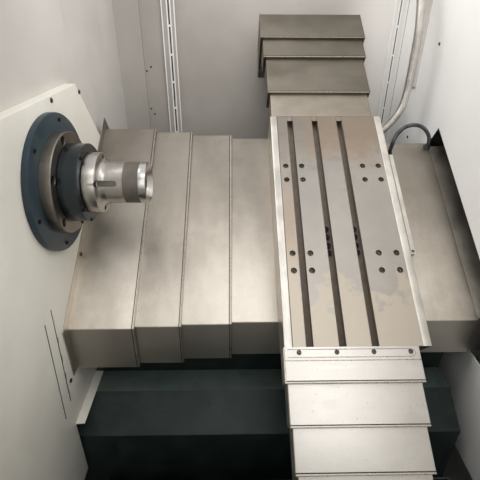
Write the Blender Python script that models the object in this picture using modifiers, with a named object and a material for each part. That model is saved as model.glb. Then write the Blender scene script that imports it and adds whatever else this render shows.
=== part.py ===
# Slant-bed turning lathe with a gang tool table, modelled in metres, +Z up.
# The spindle lies along X, the table slides up the slant, and the operator stands at -Y.

import math

import bmesh
import bpy
from mathutils import Matrix, Vector

# Slant bed and table. The table's front left top corner is the reference point of the inside.
SLANT = math.radians(35.0)
TABLE_WIDTH = 0.265
TABLE_LENGTH = 0.603
TABLE_THICKNESS = 0.045
TABLE_HEIGHT = 0.80
SLOT_PLACES = (0.034, 0.101, 0.1675)
SLOT_WIDTH = 0.016
SLOT_THROAT = 0.014
SLOT_UNDERCUT = 0.027
SLOT_DEPTH = 0.026
CARRIAGE_BOLT_X = 0.0403
CARRIAGE_BOLT_S = 0.0410
COUNTERBORE_RADIUS = 0.0070
COUNTERBORE_DEPTH = 0.009
TRIM_WIDTH = 0.018
TRIM_DEPTH = 0.080

# Running and seating gaps.
GAP = 0.0003
RUNNING_GAP = 0.0005
SHEET = 0.0020

# Cross slide guides, under the table.
X_RAIL_PLACES = (0.0337, TABLE_WIDTH - 0.0357)
X_RAIL_WIDTH = 0.020
X_RAIL_HEIGHT = 0.020
X_CARRIAGE_PLACES = (0.182, 0.419)
X_CARRIAGE_WIDTH = 0.048
X_CARRIAGE_LENGTH = 0.070
X_GUIDE_STACK = 0.055
X_SCREW_RADIUS = 0.008
X_SCREW_DEPTH = 0.018
X_MOTOR_SIZE = 0.070
X_MOTOR_LENGTH = 0.125
X_MOTOR_START = 0.800
X_RAIL_START = 0.050
X_RAIL_END = 0.620

# Saddle, which carries the cross slide along the bed.
SADDLE_THICKNESS = 0.050
SADDLE_FRONT = -0.335
SADDLE_REAR = 0.965
SADDLE_BAR = 0.060

# Bed guides, under the saddle.
Z_RAIL_PLACES = (0.130, 0.500)
Z_RAIL_WIDTH = 0.023
Z_RAIL_HEIGHT = 0.024
Z_CARRIAGE_WIDTH = 0.060
Z_CARRIAGE_INSET = 0.020
Z_GUIDE_STACK = 0.050
Z_SCREW_RADIUS = 0.016
Z_SCREW_PLACE = 0.315
Z_SCREW_LIFT = 0.022
Z_SCREW_START = 0.020
SCREW_JOURNAL_LENGTH = 0.030
SCREW_JOURNAL_SHARE = 0.7
BEARING_BLOCK_LENGTH = 0.024
BEARING_BLOCK_HALF = 0.040
Z_MOTOR_SIZE = 0.090
Z_MOTOR_LENGTH = 0.120

# Telescopic covers of the bed, left of the saddle. Numbers count from the headstock.
Z_COVER_COUNT = 4
Z_COVER_TOP = -0.060
Z_COVER_STEP = 0.0075
Z_COVER_REAR = 0.609
Z_COVER_REAR_STEP = 0.0053
Z_COVER_FRONT = 0.0504
Z_COVER_FRONT_STEP = 0.0058
Z_COVER_SKIRT = 0.117
Z_COVER_SKIRT_STEP = 0.0059
Z_COVER_REAR_SKIRT = 0.050
Z_COVER_EDGES = (-0.339, -0.2365, -0.1245)
Z_COVER_OVERLAP = 0.046
FLANGE_HEIGHT = 0.022
FLANGE_CLEARANCE = 0.0005
WIPER_DEPTH = 0.030

# Telescopic covers above and below the table, along the slant.
X_COVER_STEP = 0.008
X_COVER_INNER_TOP = -0.0025
X_COVER_SKIRT = 0.062
X_COVER_SIDE_STEP = 0.0070
X_COVER_SHARES = (0.2066, 0.5416, 0.7305)
X_COVER_BODY = (0.130, 0.180, 0.125)
X_COVER_END = 1.000
X_COVER_EDGES = [TABLE_LENGTH + share * (X_COVER_END - TABLE_LENGTH) for share in X_COVER_SHARES]
FRONT_COVER_STEP = 0.007
FRONT_COVER_TOP = 0.002
FRONT_COVER_LENGTH = 0.068
FRONT_COVER_OVERLAP = 0.0445
FRONT_COVER_BODY = 0.120
FRONT_COVER_SKIRT = 0.045
FRONT_COVER_COUNT = 4

# Covers right of the saddle.
RIGHT_COVER_WIDTH = 0.178
RIGHT_COVER_REAR = 0.575
RIGHT_WALL_SILL = 0.010
RIGHT_INNER_START = TABLE_WIDTH + 0.035
RIGHT_INNER_END = TABLE_WIDTH + 0.335
GUARD_STRIP_X = TABLE_WIDTH + 0.052
GUARD_STRIP_WIDTH = 0.010
GUARD_STRIP_START = 0.226
GUARD_STRIP_END = 0.525
GUARD_STRIP_HEIGHT = 0.012
GREY_CONDUIT_RADIUS = 0.0112
BLACK_CONDUIT_RADIUS = 0.0055

# Spindle line. The axis height and depth are measured from the table's corner.
AXIS_Y = 0.182
AXIS_Z = 0.2835
PLATE_FACE = -0.485
RING_RADIUS = 0.1422
RING_THICKNESS = 0.0117
CAP_RADIUS = 0.1045
CAP_THICKNESS = 0.0240
CAP_BOLT_CIRCLE = 0.0925
CAP_BOLT_RADIUS = 0.0065
CAP_BOLT_DEPTH = 0.010
ADAPTER_RADIUS = 0.0803
ADAPTER_LENGTH = 0.0340
DISC_RADIUS = 0.0622
DISC_LENGTH = 0.0260
CHUCK_BOLT_RADIUS = 0.0068
CHUCK_BOLT_CIRCLE = 0.0508
CHUCK_BOLT_DEPTH = 0.0100
CHUCK_BOLT_COUNT = 4
BOLT_TURN = math.radians(19.0)
TUBE_RADIUS = 0.0425
TUBE_END = -0.3095
COLLET_LENGTH = 0.0150
COLLET_OUTER = 0.0350
COLLET_BORE = 0.0300
KEYWAY_WIDTH = 0.0120
KEYWAY_END = -0.352
SHAFT_RADIUS = 0.055
SHAFT_BORE = 0.031
SHAFT_END = -1.130

# Headstock and drive.
HEADSTOCK_WIDTH = 0.300
HEADSTOCK_LENGTH = 0.545
HEADSTOCK_TOP = 0.425
HEADSTOCK_FRONT = -0.515
HOUSING_RADIUS = 0.098
SPINDLE_PULLEY_RADIUS = 0.100
MOTOR_PULLEY_RADIUS = 0.060
PULLEY_WIDTH = 0.036
BELT_THICKNESS = 0.004
MOTOR_Y = 0.560
MOTOR_SIZE = 0.220
MOTOR_LENGTH = 0.300

# Cast base.
SHELF_Z = -0.250
SHELF_FRONT = 0.101
BED_LEFT = -0.470
BED_RIGHT = TABLE_WIDTH + 0.165
BED_LOW = 0.060
BED_HIGH = 0.640
BASE_LEFT = -1.120
BASE_FRONT = 0.020
BASE_REAR = 0.820

# Sheet metal guards, cabinets and door.
LEFT_WALL_X = -0.508
RIGHT_WALL_X = TABLE_WIDTH + 0.200
REAR_WALL_Y = 0.918
FRONT_PLANE = -0.395
CABINET_LEFT = -1.230
CABINET_RIGHT = 0.800
ENCLOSURE_TOP = 0.950
PLINTH = 0.020
SHELL = 0.003
POST_WIDTH = 0.074
STRIP_PROUD = 0.010
SILL_Z = 0.200
HEADER_Z = 0.800
OPENING_LEFT = -0.420
OPENING_RIGHT = 0.390
PLATE_TOP = 0.451
PLATE_CORNER = 0.373
PLATE_REAR = 0.568
DOOR_WIDTH = 0.830
DOOR_THICKNESS = 0.024
DOOR_STANDOFF = 0.006
DOOR_LAP = 0.030
WINDOW_LEFT = 0.110
WINDOW_RIGHT = 0.130
WINDOW_LOW = 0.120
WINDOW_HIGH = 0.100
WINDOW_THICKNESS = 0.006
HANDLE_LENGTH = 0.300
HANDLE_WIDTH = 0.030
HANDLE_INSET = 0.050
DOOR_TRAVEL = 0.800
HANDLE_DEPTH = 0.035
HANDLE_THICKNESS = 0.006
RAIL_HEIGHT = 0.015
TRAY_LEFT = -0.450
TRAY_RIGHT = 0.410
TRAY_TOP = -0.420
TRAY_BOTTOM = -0.600
TRAY_BACK = -0.020
ELECTRIC_DEPTH = 0.160
CONSOLE_DEPTH = 0.100
CONSOLE_LOW = 0.120
CONSOLE_HIGH = 0.720

# The machine's middle, seen from above, measured from the table's corner.
MIDDLE_X = (CABINET_LEFT + CABINET_RIGHT) / 2.0
FRONTMOST = FRONT_PLANE - GAP - CONSOLE_DEPTH
REARMOST = REAR_WALL_Y + SHEET + GAP + ELECTRIC_DEPTH
MIDDLE_Y = (FRONTMOST + REARMOST) / 2.0

COLORS = {
    "cast_green": ((0.016, 0.026, 0.028), 0.45, 0.0),
    "cast_grey": ((0.20, 0.21, 0.21), 0.55, 0.0),
    "cream": ((0.66, 0.64, 0.56), 0.45, 0.0),
    "wall": ((0.55, 0.53, 0.50), 0.50, 0.0),
    "white": ((0.80, 0.80, 0.79), 0.45, 0.0),
    "stainless": ((0.42, 0.37, 0.31), 0.35, 1.0),
    "trim": ((0.62, 0.59, 0.54), 0.35, 1.0),
    "ground": ((0.48, 0.44, 0.40), 0.30, 1.0),
    "steel": ((0.45, 0.43, 0.41), 0.30, 1.0),
    "cap": ((0.27, 0.23, 0.20), 0.40, 1.0),
    "ring": ((0.025, 0.040, 0.048), 0.40, 0.0),
    "black": ((0.045, 0.048, 0.052), 0.45, 0.6),
    "rubber": ((0.020, 0.020, 0.020), 0.70, 0.0),
    "conduit": ((0.62, 0.61, 0.58), 0.45, 0.5),
    "glass": ((0.55, 0.60, 0.60), 0.10, 0.0),
}


def clear_scene():
    for item in list(bpy.data.objects):
        bpy.data.objects.remove(item, do_unlink=True)


def new_collection(name):
    group = bpy.data.collections.new(name)
    bpy.context.scene.collection.children.link(group)
    return group


def material(name, finish):
    color, rough, metal = COLORS[finish]
    mat = bpy.data.materials.new(name)
    mat.use_nodes = True
    shader = mat.node_tree.nodes["Principled BSDF"]
    shader.inputs["Base Color"].default_value = (*color, 1.0)
    shader.inputs["Roughness"].default_value = rough
    shader.inputs["Metallic"].default_value = metal
    return mat


clear_scene()
LATHE = new_collection("turning_lathe")
CUTTERS = new_collection("cutters")
CUTTERS.hide_render = True


def new_empty(name, parent=None, location=(0.0, 0.0, 0.0), turn_x=0.0):
    item = bpy.data.objects.new(name, None)
    LATHE.objects.link(item)
    item.parent = parent
    item.location = location
    item.rotation_euler = (turn_x, 0.0, 0.0)
    return item


# machine: origin at the table's corner, level axes. bed: the same origin, turned up the slant,
# so that its Y runs up the slant and its Z stands square to the table.
machine = new_empty("machine", location=(-MIDDLE_X, -MIDDLE_Y, TABLE_HEIGHT))
bed = new_empty("bed", parent=machine, turn_x=SLANT)


def level(s, n):
    """Place on the slant, given along it and square to it, as level Y and Z."""
    return (s * math.cos(SLANT) - n * math.sin(SLANT), s * math.sin(SLANT) + n * math.cos(SLANT))


def add_object(name, data, finish, parent):
    item = bpy.data.objects.new(name, data)
    if finish is None:
        CUTTERS.objects.link(item)
        item.hide_render = True
        item.display_type = "WIRE"
    else:
        LATHE.objects.link(item)
        data.materials.append(material(name, finish))
    item.parent = parent
    return item


def mesh_from(bm, name):
    bmesh.ops.recalc_face_normals(bm, faces=bm.faces)
    mesh = bpy.data.meshes.new(name)
    bm.to_mesh(mesh)
    bm.free()
    return mesh


def box(name, finish, parent, low, high):
    """Box between two corners of the parent's frame."""
    bm = bmesh.new()
    bmesh.ops.create_cube(bm, size=1.0)
    size = [b - a for a, b in zip(low, high)]
    bmesh.ops.scale(bm, vec=size, verts=bm.verts)
    item = add_object(name, mesh_from(bm, name), finish, parent)
    item.location = [(a + b) / 2.0 for a, b in zip(low, high)]
    return item


def turned(name, finish, parent, profile, centre, steps=48, closed=False):
    """Piece turned about an X axis. Profile points are (place along X, radius), with the outer
    side running from right to left and a bore's side coming back."""
    bm = bmesh.new()
    verts = [bm.verts.new((r, 0.0, x)) for x, r in profile]
    for a, b in zip(verts, verts[1:]):
        bm.edges.new((a, b))
    if closed:
        bm.edges.new((verts[-1], verts[0]))
    mesh = bpy.data.meshes.new(name)
    bm.to_mesh(mesh)
    bm.free()
    item = add_object(name, mesh, finish, parent)
    item.location = centre
    item.rotation_euler = (0.0, math.radians(90.0), 0.0)
    screw = item.modifiers.new("turn", "SCREW")
    screw.axis = "Z"
    screw.steps = steps
    screw.render_steps = steps
    screw.use_merge_vertices = True
    screw.merge_threshold = 0.00005
    screw.use_smooth_shade = True
    return item


def ring(name, finish, parent, right, left, outer, inner, centre, steps=48, chamfer=0.001):
    profile = [(right, outer - chamfer), (right - chamfer, outer), (left + chamfer, outer),
               (left, outer - chamfer), (left, inner), (right, inner)]
    return turned(name, finish, parent, profile, centre, steps, closed=True)


def rod_cutter(name, parent, start, direction, length, radius, segments=24):
    """Round cutter that starts at a point and runs along a direction."""
    bm = bmesh.new()
    bmesh.ops.create_cone(bm, cap_ends=True, segments=segments, radius1=radius, radius2=radius,
                          depth=length)
    bmesh.ops.translate(bm, vec=(0.0, 0.0, length / 2.0), verts=bm.verts)
    item = add_object(name, mesh_from(bm, name), None, parent)
    item.location = start
    item.rotation_euler = Vector(direction).to_track_quat("Z", "Y").to_euler()
    return item


def prism(name, finish, parent, outline, start, end, plane):
    """Flat outline with thickness. The plane names the two axes of the outline; the piece runs
    from start to end along the third."""
    curve = bpy.data.curves.new(name, "CURVE")
    curve.dimensions = "2D"
    curve.fill_mode = "BOTH"
    curve.extrude = (end - start) / 2.0
    loops = outline if isinstance(outline[0][0], (tuple, list)) else [outline]
    for loop in loops:
        spline = curve.splines.new("POLY")
        spline.points.add(len(loop) - 1)
        for point, (u, v) in zip(spline.points, loop):
            point.co = (u, v, 0.0, 1.0)
        spline.use_cyclic_u = True
    draft = bpy.data.objects.new(name + "_draft", curve)
    CUTTERS.objects.link(draft)
    bpy.context.view_layer.update()
    mesh = bpy.data.meshes.new_from_object(draft.evaluated_get(bpy.context.evaluated_depsgraph_get()))
    bpy.data.objects.remove(draft, do_unlink=True)
    bm = bmesh.new()
    bm.from_mesh(mesh)
    bpy.data.meshes.remove(mesh)
    bmesh.ops.remove_doubles(bm, verts=bm.verts, dist=0.00002)
    middle = (start + end) / 2.0
    axes = {"YZ": Matrix(((0, 0, 1), (1, 0, 0), (0, 1, 0))),
            "XZ": Matrix(((1, 0, 0), (0, 0, -1), (0, 1, 0))),
            "XY": Matrix(((1, 0, 0), (0, 1, 0), (0, 0, 1)))}[plane]
    bmesh.ops.transform(bm, matrix=axes.to_4x4(), verts=bm.verts)
    shift = {"YZ": (middle, 0.0, 0.0), "XZ": (0.0, middle, 0.0), "XY": (0.0, 0.0, middle)}[plane]
    bmesh.ops.translate(bm, vec=shift, verts=bm.verts)
    return add_object(name, mesh_from(bm, name), finish, parent)


def cut(item, cutter, operation="DIFFERENCE"):
    boolean = item.modifiers.new(cutter.name, "BOOLEAN")
    boolean.operation = operation
    boolean.object = cutter
    boolean.solver = "EXACT"
    return item


def bevelled(item, width, segments=1, angle=math.radians(40.0)):
    bevel = item.modifiers.new("edges", "BEVEL")
    bevel.width = width
    bevel.segments = segments
    bevel.limit_method = "ANGLE"
    bevel.angle_limit = angle
    return item


def folded_sheet(name, finish, parent, rows, thickness=SHEET):
    """Sheet through rows of points. Each row has the same count of points, and the thickness
    goes to the inner side."""
    bm = bmesh.new()
    grid = [[bm.verts.new(point) for point in row] for row in rows]
    for row, following in zip(grid, grid[1:]):
        for k in range(len(row) - 1):
            bm.faces.new((row[k], row[k + 1], following[k + 1], following[k]))
    mesh = bpy.data.meshes.new(name)
    bm.to_mesh(mesh)
    bm.free()
    item = add_object(name, mesh, finish, parent)
    solidify = item.modifiers.new("sheet", "SOLIDIFY")
    solidify.thickness = thickness
    solidify.offset = -1.0
    solidify.solidify_mode = "NON_MANIFOLD"
    solidify.nonmanifold_thickness_mode = "CONSTRAINTS"
    return item


# Bed covers. A section is rear skirt, slanted top and a front skirt that hangs plumb.

def z_cover_section(index, inward=0.0, skirt_inward=0.0, outward=0.0):
    top = Z_COVER_TOP - index * Z_COVER_STEP - inward + outward
    rear = Z_COVER_REAR - index * Z_COVER_REAR_STEP - skirt_inward + outward
    front = Z_COVER_FRONT + index * Z_COVER_FRONT_STEP
    skirt = Z_COVER_SKIRT - index * Z_COVER_SKIRT_STEP
    front_y, front_z = level(front, Z_COVER_TOP - index * Z_COVER_STEP)
    front_y += (skirt_inward - outward)
    front_s = front_y / math.cos(SLANT) + top * math.tan(SLANT)
    top_y, top_z = level(front_s, top)
    low_z = front_z - skirt
    rear_top = level(rear, top)
    rear_low = level(rear, Z_COVER_TOP - index * Z_COVER_STEP - Z_COVER_REAR_SKIRT)
    return [rear_low, rear_top, (top_y, top_z), (front_y, low_z)]


def z_cover(index, left, right, left_flange=False, right_flange=0.0):
    """One bed cover. Its right edge turns in to wipe on the next cover."""
    rows = []

    def row(x, **shift):
        rows.append([(x, y, z) for y, z in z_cover_section(index, **shift)])

    if left_flange:
        row(left, outward=FLANGE_HEIGHT)
    row(left)
    row(right)
    if right_flange:
        row(right, inward=right_flange, skirt_inward=right_flange)
    else:
        skirt_gap = Z_COVER_FRONT_STEP * math.cos(SLANT) + Z_COVER_STEP * math.sin(SLANT)
        row(right, inward=Z_COVER_STEP - GAP, skirt_inward=min(skirt_gap, Z_COVER_REAR_STEP) - GAP)
    return folded_sheet(f"z_cover_{index + 1}", "stainless", machine, rows)


def build_z_covers():
    """Cover 1 stands still at the headstock, and the last one rides on the saddle."""
    z_cover(0, PLATE_FACE + FLANGE_CLEARANCE + SHEET, Z_COVER_EDGES[0], left_flange=True)
    last = Z_COVER_COUNT - 1
    for index in range(1, last):
        z_cover(index, Z_COVER_EDGES[index - 1] - Z_COVER_OVERLAP, Z_COVER_EDGES[index])
    z_cover(last, Z_COVER_EDGES[-1] - Z_COVER_OVERLAP, -GAP, right_flange=WIPER_DEPTH)


# Slant covers. A section is a flat top with a skirt down each side; the lip of a rear cover is
# at its lower edge, and that of a front cover at its lower edge too.

def x_section(s, left, right, top, bottom):
    return [(left, s, bottom), (left, s, top), (right, s, top), (right, s, bottom)]


def x_cover(name, low, high, left, right, top, skirt, low_lip=0.0, side_lip=0.0, high_lip=0.0):
    rows = []
    if low_lip:
        rows.append(x_section(low, left + side_lip, right - side_lip, top - low_lip, top - skirt))
    rows.append(x_section(low, left, right, top, top - skirt))
    rows.append(x_section(high, left, right, top, top - skirt))
    if high_lip:
        rows.append(x_section(high, left + SHEET, right - SHEET, top - high_lip, top - skirt))
    return folded_sheet(name, "stainless", bed, rows)


def build_rear_slant_covers():
    """Cover 1 is fixed at the saddle's rear end, and cover 4 is bolted to the table."""
    places = list(reversed(X_COVER_EDGES))
    for number in range(1, 5):
        depth = 4 - number
        top = X_COVER_INNER_TOP + depth * X_COVER_STEP
        left = -TRIM_WIDTH + 0.003 - depth * X_COVER_SIDE_STEP
        right = TABLE_WIDTH - 0.003 + depth * X_COVER_SIDE_STEP
        skirt = X_COVER_SKIRT
        low = places[number - 1] if number < 4 else TABLE_LENGTH + GAP
        if number == 1:
            high = X_COVER_END
            skirt = top + TABLE_THICKNESS + X_GUIDE_STACK - GAP
        else:
            high = low + X_COVER_BODY[4 - number]
        lip = X_COVER_STEP - GAP if number < 4 else 0.040
        side = X_COVER_SIDE_STEP - GAP if number < 4 else X_COVER_SIDE_STEP
        x_cover(f"x_rear_cover_{number}", low, high, left, right, top, skirt, lip, side,
                high_lip=0.060 if number == 1 else 0.0)


def build_front_slant_covers():
    """Cover 1 is bolted to the table's front, and cover 4 stands on the saddle."""
    high = -GAP
    for number in range(1, FRONT_COVER_COUNT + 1):
        depth = number - 1
        top = FRONT_COVER_TOP - depth * FRONT_COVER_STEP
        inset = depth * FRONT_COVER_STEP * 0.75
        left = -TRIM_WIDTH - 0.003 + inset
        right = TABLE_WIDTH - 0.010 - inset
        length = FRONT_COVER_LENGTH if number == 1 else FRONT_COVER_BODY
        skirt = FRONT_COVER_SKIRT
        if number == FRONT_COVER_COUNT:
            skirt = top + TABLE_THICKNESS + X_GUIDE_STACK - GAP
        low = high - length
        lip = FRONT_COVER_STEP - GAP if number < FRONT_COVER_COUNT else 0.0
        x_cover(f"x_front_cover_{number}", low, high, left, right, top, skirt, lip,
                FRONT_COVER_STEP * 0.75 - GAP)
        high = low + FRONT_COVER_OVERLAP


# Cross slide.

def t_slot(place):
    """Outline of one slot, open through the top."""
    throat, wide = SLOT_WIDTH / 2.0, SLOT_UNDERCUT / 2.0
    return [(place - throat, 0.01), (place - throat, -SLOT_THROAT), (place - wide, -SLOT_THROAT),
            (place - wide, -SLOT_DEPTH), (place + wide, -SLOT_DEPTH), (place + wide, -SLOT_THROAT),
            (place + throat, -SLOT_THROAT), (place + throat, 0.01)]


def build_table():
    table = box("table", "ground", bed, (0.0, 0.0, -TABLE_THICKNESS),
                (TABLE_WIDTH, TABLE_LENGTH, 0.0))
    for number, place in enumerate(SLOT_PLACES):
        cut(table, prism(f"t_slot_{number}", None, bed, t_slot(place), -0.01, TABLE_LENGTH + 0.01,
                         "XZ"))
    for i, x in enumerate(X_RAIL_PLACES):
        for j, s in enumerate(X_CARRIAGE_PLACES):
            for k, (dx, ds) in enumerate(((-1, -1), (-1, 1), (1, -1), (1, 1))):
                place = (x + dx * CARRIAGE_BOLT_X / 2.0, s + ds * CARRIAGE_BOLT_S / 2.0,
                         -COUNTERBORE_DEPTH)
                hole = rod_cutter(f"counterbore_{i}{j}{k}", bed, place, (0, 0, 1),
                                  COUNTERBORE_DEPTH * 2.0, COUNTERBORE_RADIUS, 16)
                cut(table, hole)
    for side, name in ((-1, "trim_left"), (1, "trim_right")):
        near = -GAP if side < 0 else TABLE_WIDTH + GAP
        far = near + side * TRIM_WIDTH
        profile = [(near, -0.020), (near, -0.001), (far, -0.001), (far, -TRIM_DEPTH)]
        if side < 0:
            profile.reverse()
        rows = [[(x, s, n) for x, n in profile] for s in (0.0, TABLE_LENGTH)]
        folded_sheet(name, "trim", bed, rows)


def build_cross_guides():
    top = -TABLE_THICKNESS - GAP
    floor = -TABLE_THICKNESS - X_GUIDE_STACK
    for place, side in zip(X_RAIL_PLACES, ("left", "right")):
        rail_top = floor + GAP + X_RAIL_HEIGHT
        waist, head = X_RAIL_WIDTH * 0.36, X_RAIL_WIDTH / 2.0
        base = floor + GAP
        outline = [(-head, base), (head, base), (head, base + 0.006), (waist, base + 0.009),
                   (waist, base + 0.012), (head, base + 0.015), (head, rail_top),
                   (-head, rail_top), (-head, base + 0.015), (-waist, base + 0.012),
                   (-waist, base + 0.009), (-head, base + 0.006)]
        outline = [(place + x, n) for x, n in outline]
        prism(f"x_rail_{side}", "steel", bed, outline, X_RAIL_START, X_RAIL_END, "XZ")
        half, slot = X_CARRIAGE_WIDTH / 2.0, head + RUNNING_GAP
        low = floor + 0.007
        outline = [(-half, low), (-slot, low), (-slot, rail_top + RUNNING_GAP),
                   (slot, rail_top + RUNNING_GAP), (slot, low), (half, low), (half, top),
                   (-half, top)]
        outline = [(place + x, n) for x, n in outline]
        for s, end in zip(X_CARRIAGE_PLACES, ("front", "rear")):
            prism(f"x_carriage_{side}_{end}", "steel", bed, outline, s - X_CARRIAGE_LENGTH / 2.0,
                  s + X_CARRIAGE_LENGTH / 2.0, "XZ")


def build_screw(name, parent, start, end, radius, centre, along):
    """Ball screw shaft with turned down ends."""
    bm = bmesh.new()
    span = end - start
    journal, turned_down = SCREW_JOURNAL_LENGTH, radius * SCREW_JOURNAL_SHARE
    stations = [(0.0, turned_down), (journal, turned_down), (journal, radius),
                (span - journal, radius), (span - journal, turned_down), (span, turned_down)]
    profile = [(0.0, span)] + [(r, z) for z, r in reversed(stations)] + [(0.0, 0.0)]
    verts = [bm.verts.new((r, 0.0, z)) for r, z in profile]
    for a, b in zip(verts, verts[1:]):
        bm.edges.new((a, b))
    mesh = bpy.data.meshes.new(name)
    bm.to_mesh(mesh)
    bm.free()
    item = add_object(name, mesh, "steel", parent)
    item.location = centre
    item.rotation_euler = Vector(along).to_track_quat("Z", "Y").to_euler()
    screw = item.modifiers.new("turn", "SCREW")
    screw.steps = 20
    screw.render_steps = 20
    screw.use_merge_vertices = True
    screw.merge_threshold = 0.00005
    return item


def build_cross_drive():
    middle = sum(X_RAIL_PLACES) / 2.0
    depth = -TABLE_THICKNESS - X_SCREW_DEPTH
    build_screw("x_screw", bed, X_RAIL_START, X_MOTOR_START - GAP, X_SCREW_RADIUS,
                (middle, X_RAIL_START, depth), (0.0, 1.0, 0.0))
    half = X_MOTOR_SIZE / 2.0
    floor = -TABLE_THICKNESS - X_GUIDE_STACK + GAP
    motor = box("x_motor", "black", bed, (middle - half, X_MOTOR_START, floor),
                (middle + half, X_MOTOR_START + X_MOTOR_LENGTH, floor + X_MOTOR_SIZE))
    bevelled(motor, 0.006)


# Saddle. Its plan is a long slab with a wider bar at the rear for the fixed cover.

def build_saddle():
    top = -TABLE_THICKNESS - X_GUIDE_STACK
    wide_left = -TRIM_WIDTH + 0.003 - 3 * X_COVER_SIDE_STEP
    wide_right = TABLE_WIDTH - 0.003 + 3 * X_COVER_SIDE_STEP
    bar = SADDLE_REAR - SADDLE_BAR
    outline = [(0.0, SADDLE_FRONT), (TABLE_WIDTH, SADDLE_FRONT), (TABLE_WIDTH, bar),
               (wide_right, bar), (wide_right, SADDLE_REAR), (wide_left, SADDLE_REAR),
               (wide_left, bar), (0.0, bar)]
    saddle = prism("saddle", "cast_grey", bed, outline, top - SADDLE_THICKNESS, top, "XY")
    bevelled(saddle, 0.002)


def build_bed_guides():
    under = -TABLE_THICKNESS - X_GUIDE_STACK - SADDLE_THICKNESS
    floor = under - Z_GUIDE_STACK
    rail_top = floor + GAP + Z_RAIL_HEIGHT
    head = Z_RAIL_WIDTH / 2.0
    waist = head * 0.72
    base = floor + GAP
    for place, side in zip(Z_RAIL_PLACES, ("lower", "upper")):
        outline = [(-head, base), (head, base), (head, base + 0.007), (waist, base + 0.010),
                   (waist, base + 0.014), (head, base + 0.017), (head, rail_top),
                   (-head, rail_top), (-head, base + 0.017), (-waist, base + 0.014),
                   (-waist, base + 0.010), (-head, base + 0.007)]
        outline = [(place + s, n) for s, n in outline]
        prism(f"z_rail_{side}", "steel", bed, outline, BED_LEFT + 0.010, BED_RIGHT - 0.010, "YZ")
        half, slot = Z_CARRIAGE_WIDTH / 2.0, head + RUNNING_GAP
        low = floor + 0.008
        outline = [(-half, low), (-slot, low), (-slot, rail_top + RUNNING_GAP),
                   (slot, rail_top + RUNNING_GAP), (slot, low), (half, low),
                   (half, under - GAP), (-half, under - GAP)]
        outline = [(place + s, n) for s, n in outline]
        prism(f"z_carriage_{side}", "steel", bed, outline, Z_CARRIAGE_INSET,
              TABLE_WIDTH - Z_CARRIAGE_INSET, "YZ")
    depth = floor + Z_SCREW_LIFT
    build_screw("z_screw", bed, BED_LEFT + Z_SCREW_START, BED_RIGHT, Z_SCREW_RADIUS,
                (BED_LEFT + Z_SCREW_START, Z_SCREW_PLACE, depth), (1.0, 0.0, 0.0))
    half = Z_MOTOR_SIZE / 2.0
    motor = box("z_motor", "black", bed, (BED_RIGHT + GAP, Z_SCREW_PLACE - half, depth - half),
                (BED_RIGHT + GAP + Z_MOTOR_LENGTH, Z_SCREW_PLACE + half, depth + half))
    bevelled(motor, 0.008)


def build_right_covers():
    """Outer cover rides on the saddle; the inner one follows it at half its travel."""
    outer_top = Z_COVER_TOP - (Z_COVER_COUNT - 1) * Z_COVER_STEP
    skirt = Z_COVER_SKIRT - (Z_COVER_COUNT - 1) * Z_COVER_SKIRT_STEP

    def section(inset):
        top = outer_top - inset
        rear = RIGHT_COVER_REAR - inset * 0.7
        front = Z_COVER_FRONT + (Z_COVER_COUNT - 1) * Z_COVER_FRONT_STEP + inset * 0.8
        front_y, front_z = level(front, top)
        rear_low = level(rear, outer_top - 0.045)
        return [rear_low, level(rear, top), (front_y, front_z), (front_y, front_z - skirt)]

    left = TABLE_WIDTH + GAP
    right = left + RIGHT_COVER_WIDTH
    lip = Z_COVER_STEP - GAP
    inner_edge = section(WIPER_DEPTH)
    rows = [[(left, y, z) for y, z in inner_edge], [(left, y, z) for y, z in section(0.0)],
            [(right, y, z) for y, z in section(0.0)], [(right, y, z) for y, z in section(lip)]]
    cover = folded_sheet("right_cover_1", "stainless", machine, rows)
    rows = [[(x, y, z) for y, z in section(Z_COVER_STEP)]
            for x in (RIGHT_INNER_START, RIGHT_INNER_END)]
    folded_sheet("right_cover_2", "stainless", machine, rows)
    ridge = box("guard_ridge", None, bed, (GUARD_STRIP_X, GUARD_STRIP_START, outer_top - 0.001),
                (GUARD_STRIP_X + GUARD_STRIP_WIDTH, GUARD_STRIP_END, outer_top + GUARD_STRIP_HEIGHT))
    cut(cover, ridge, "UNION")


# Spindle line.

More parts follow.
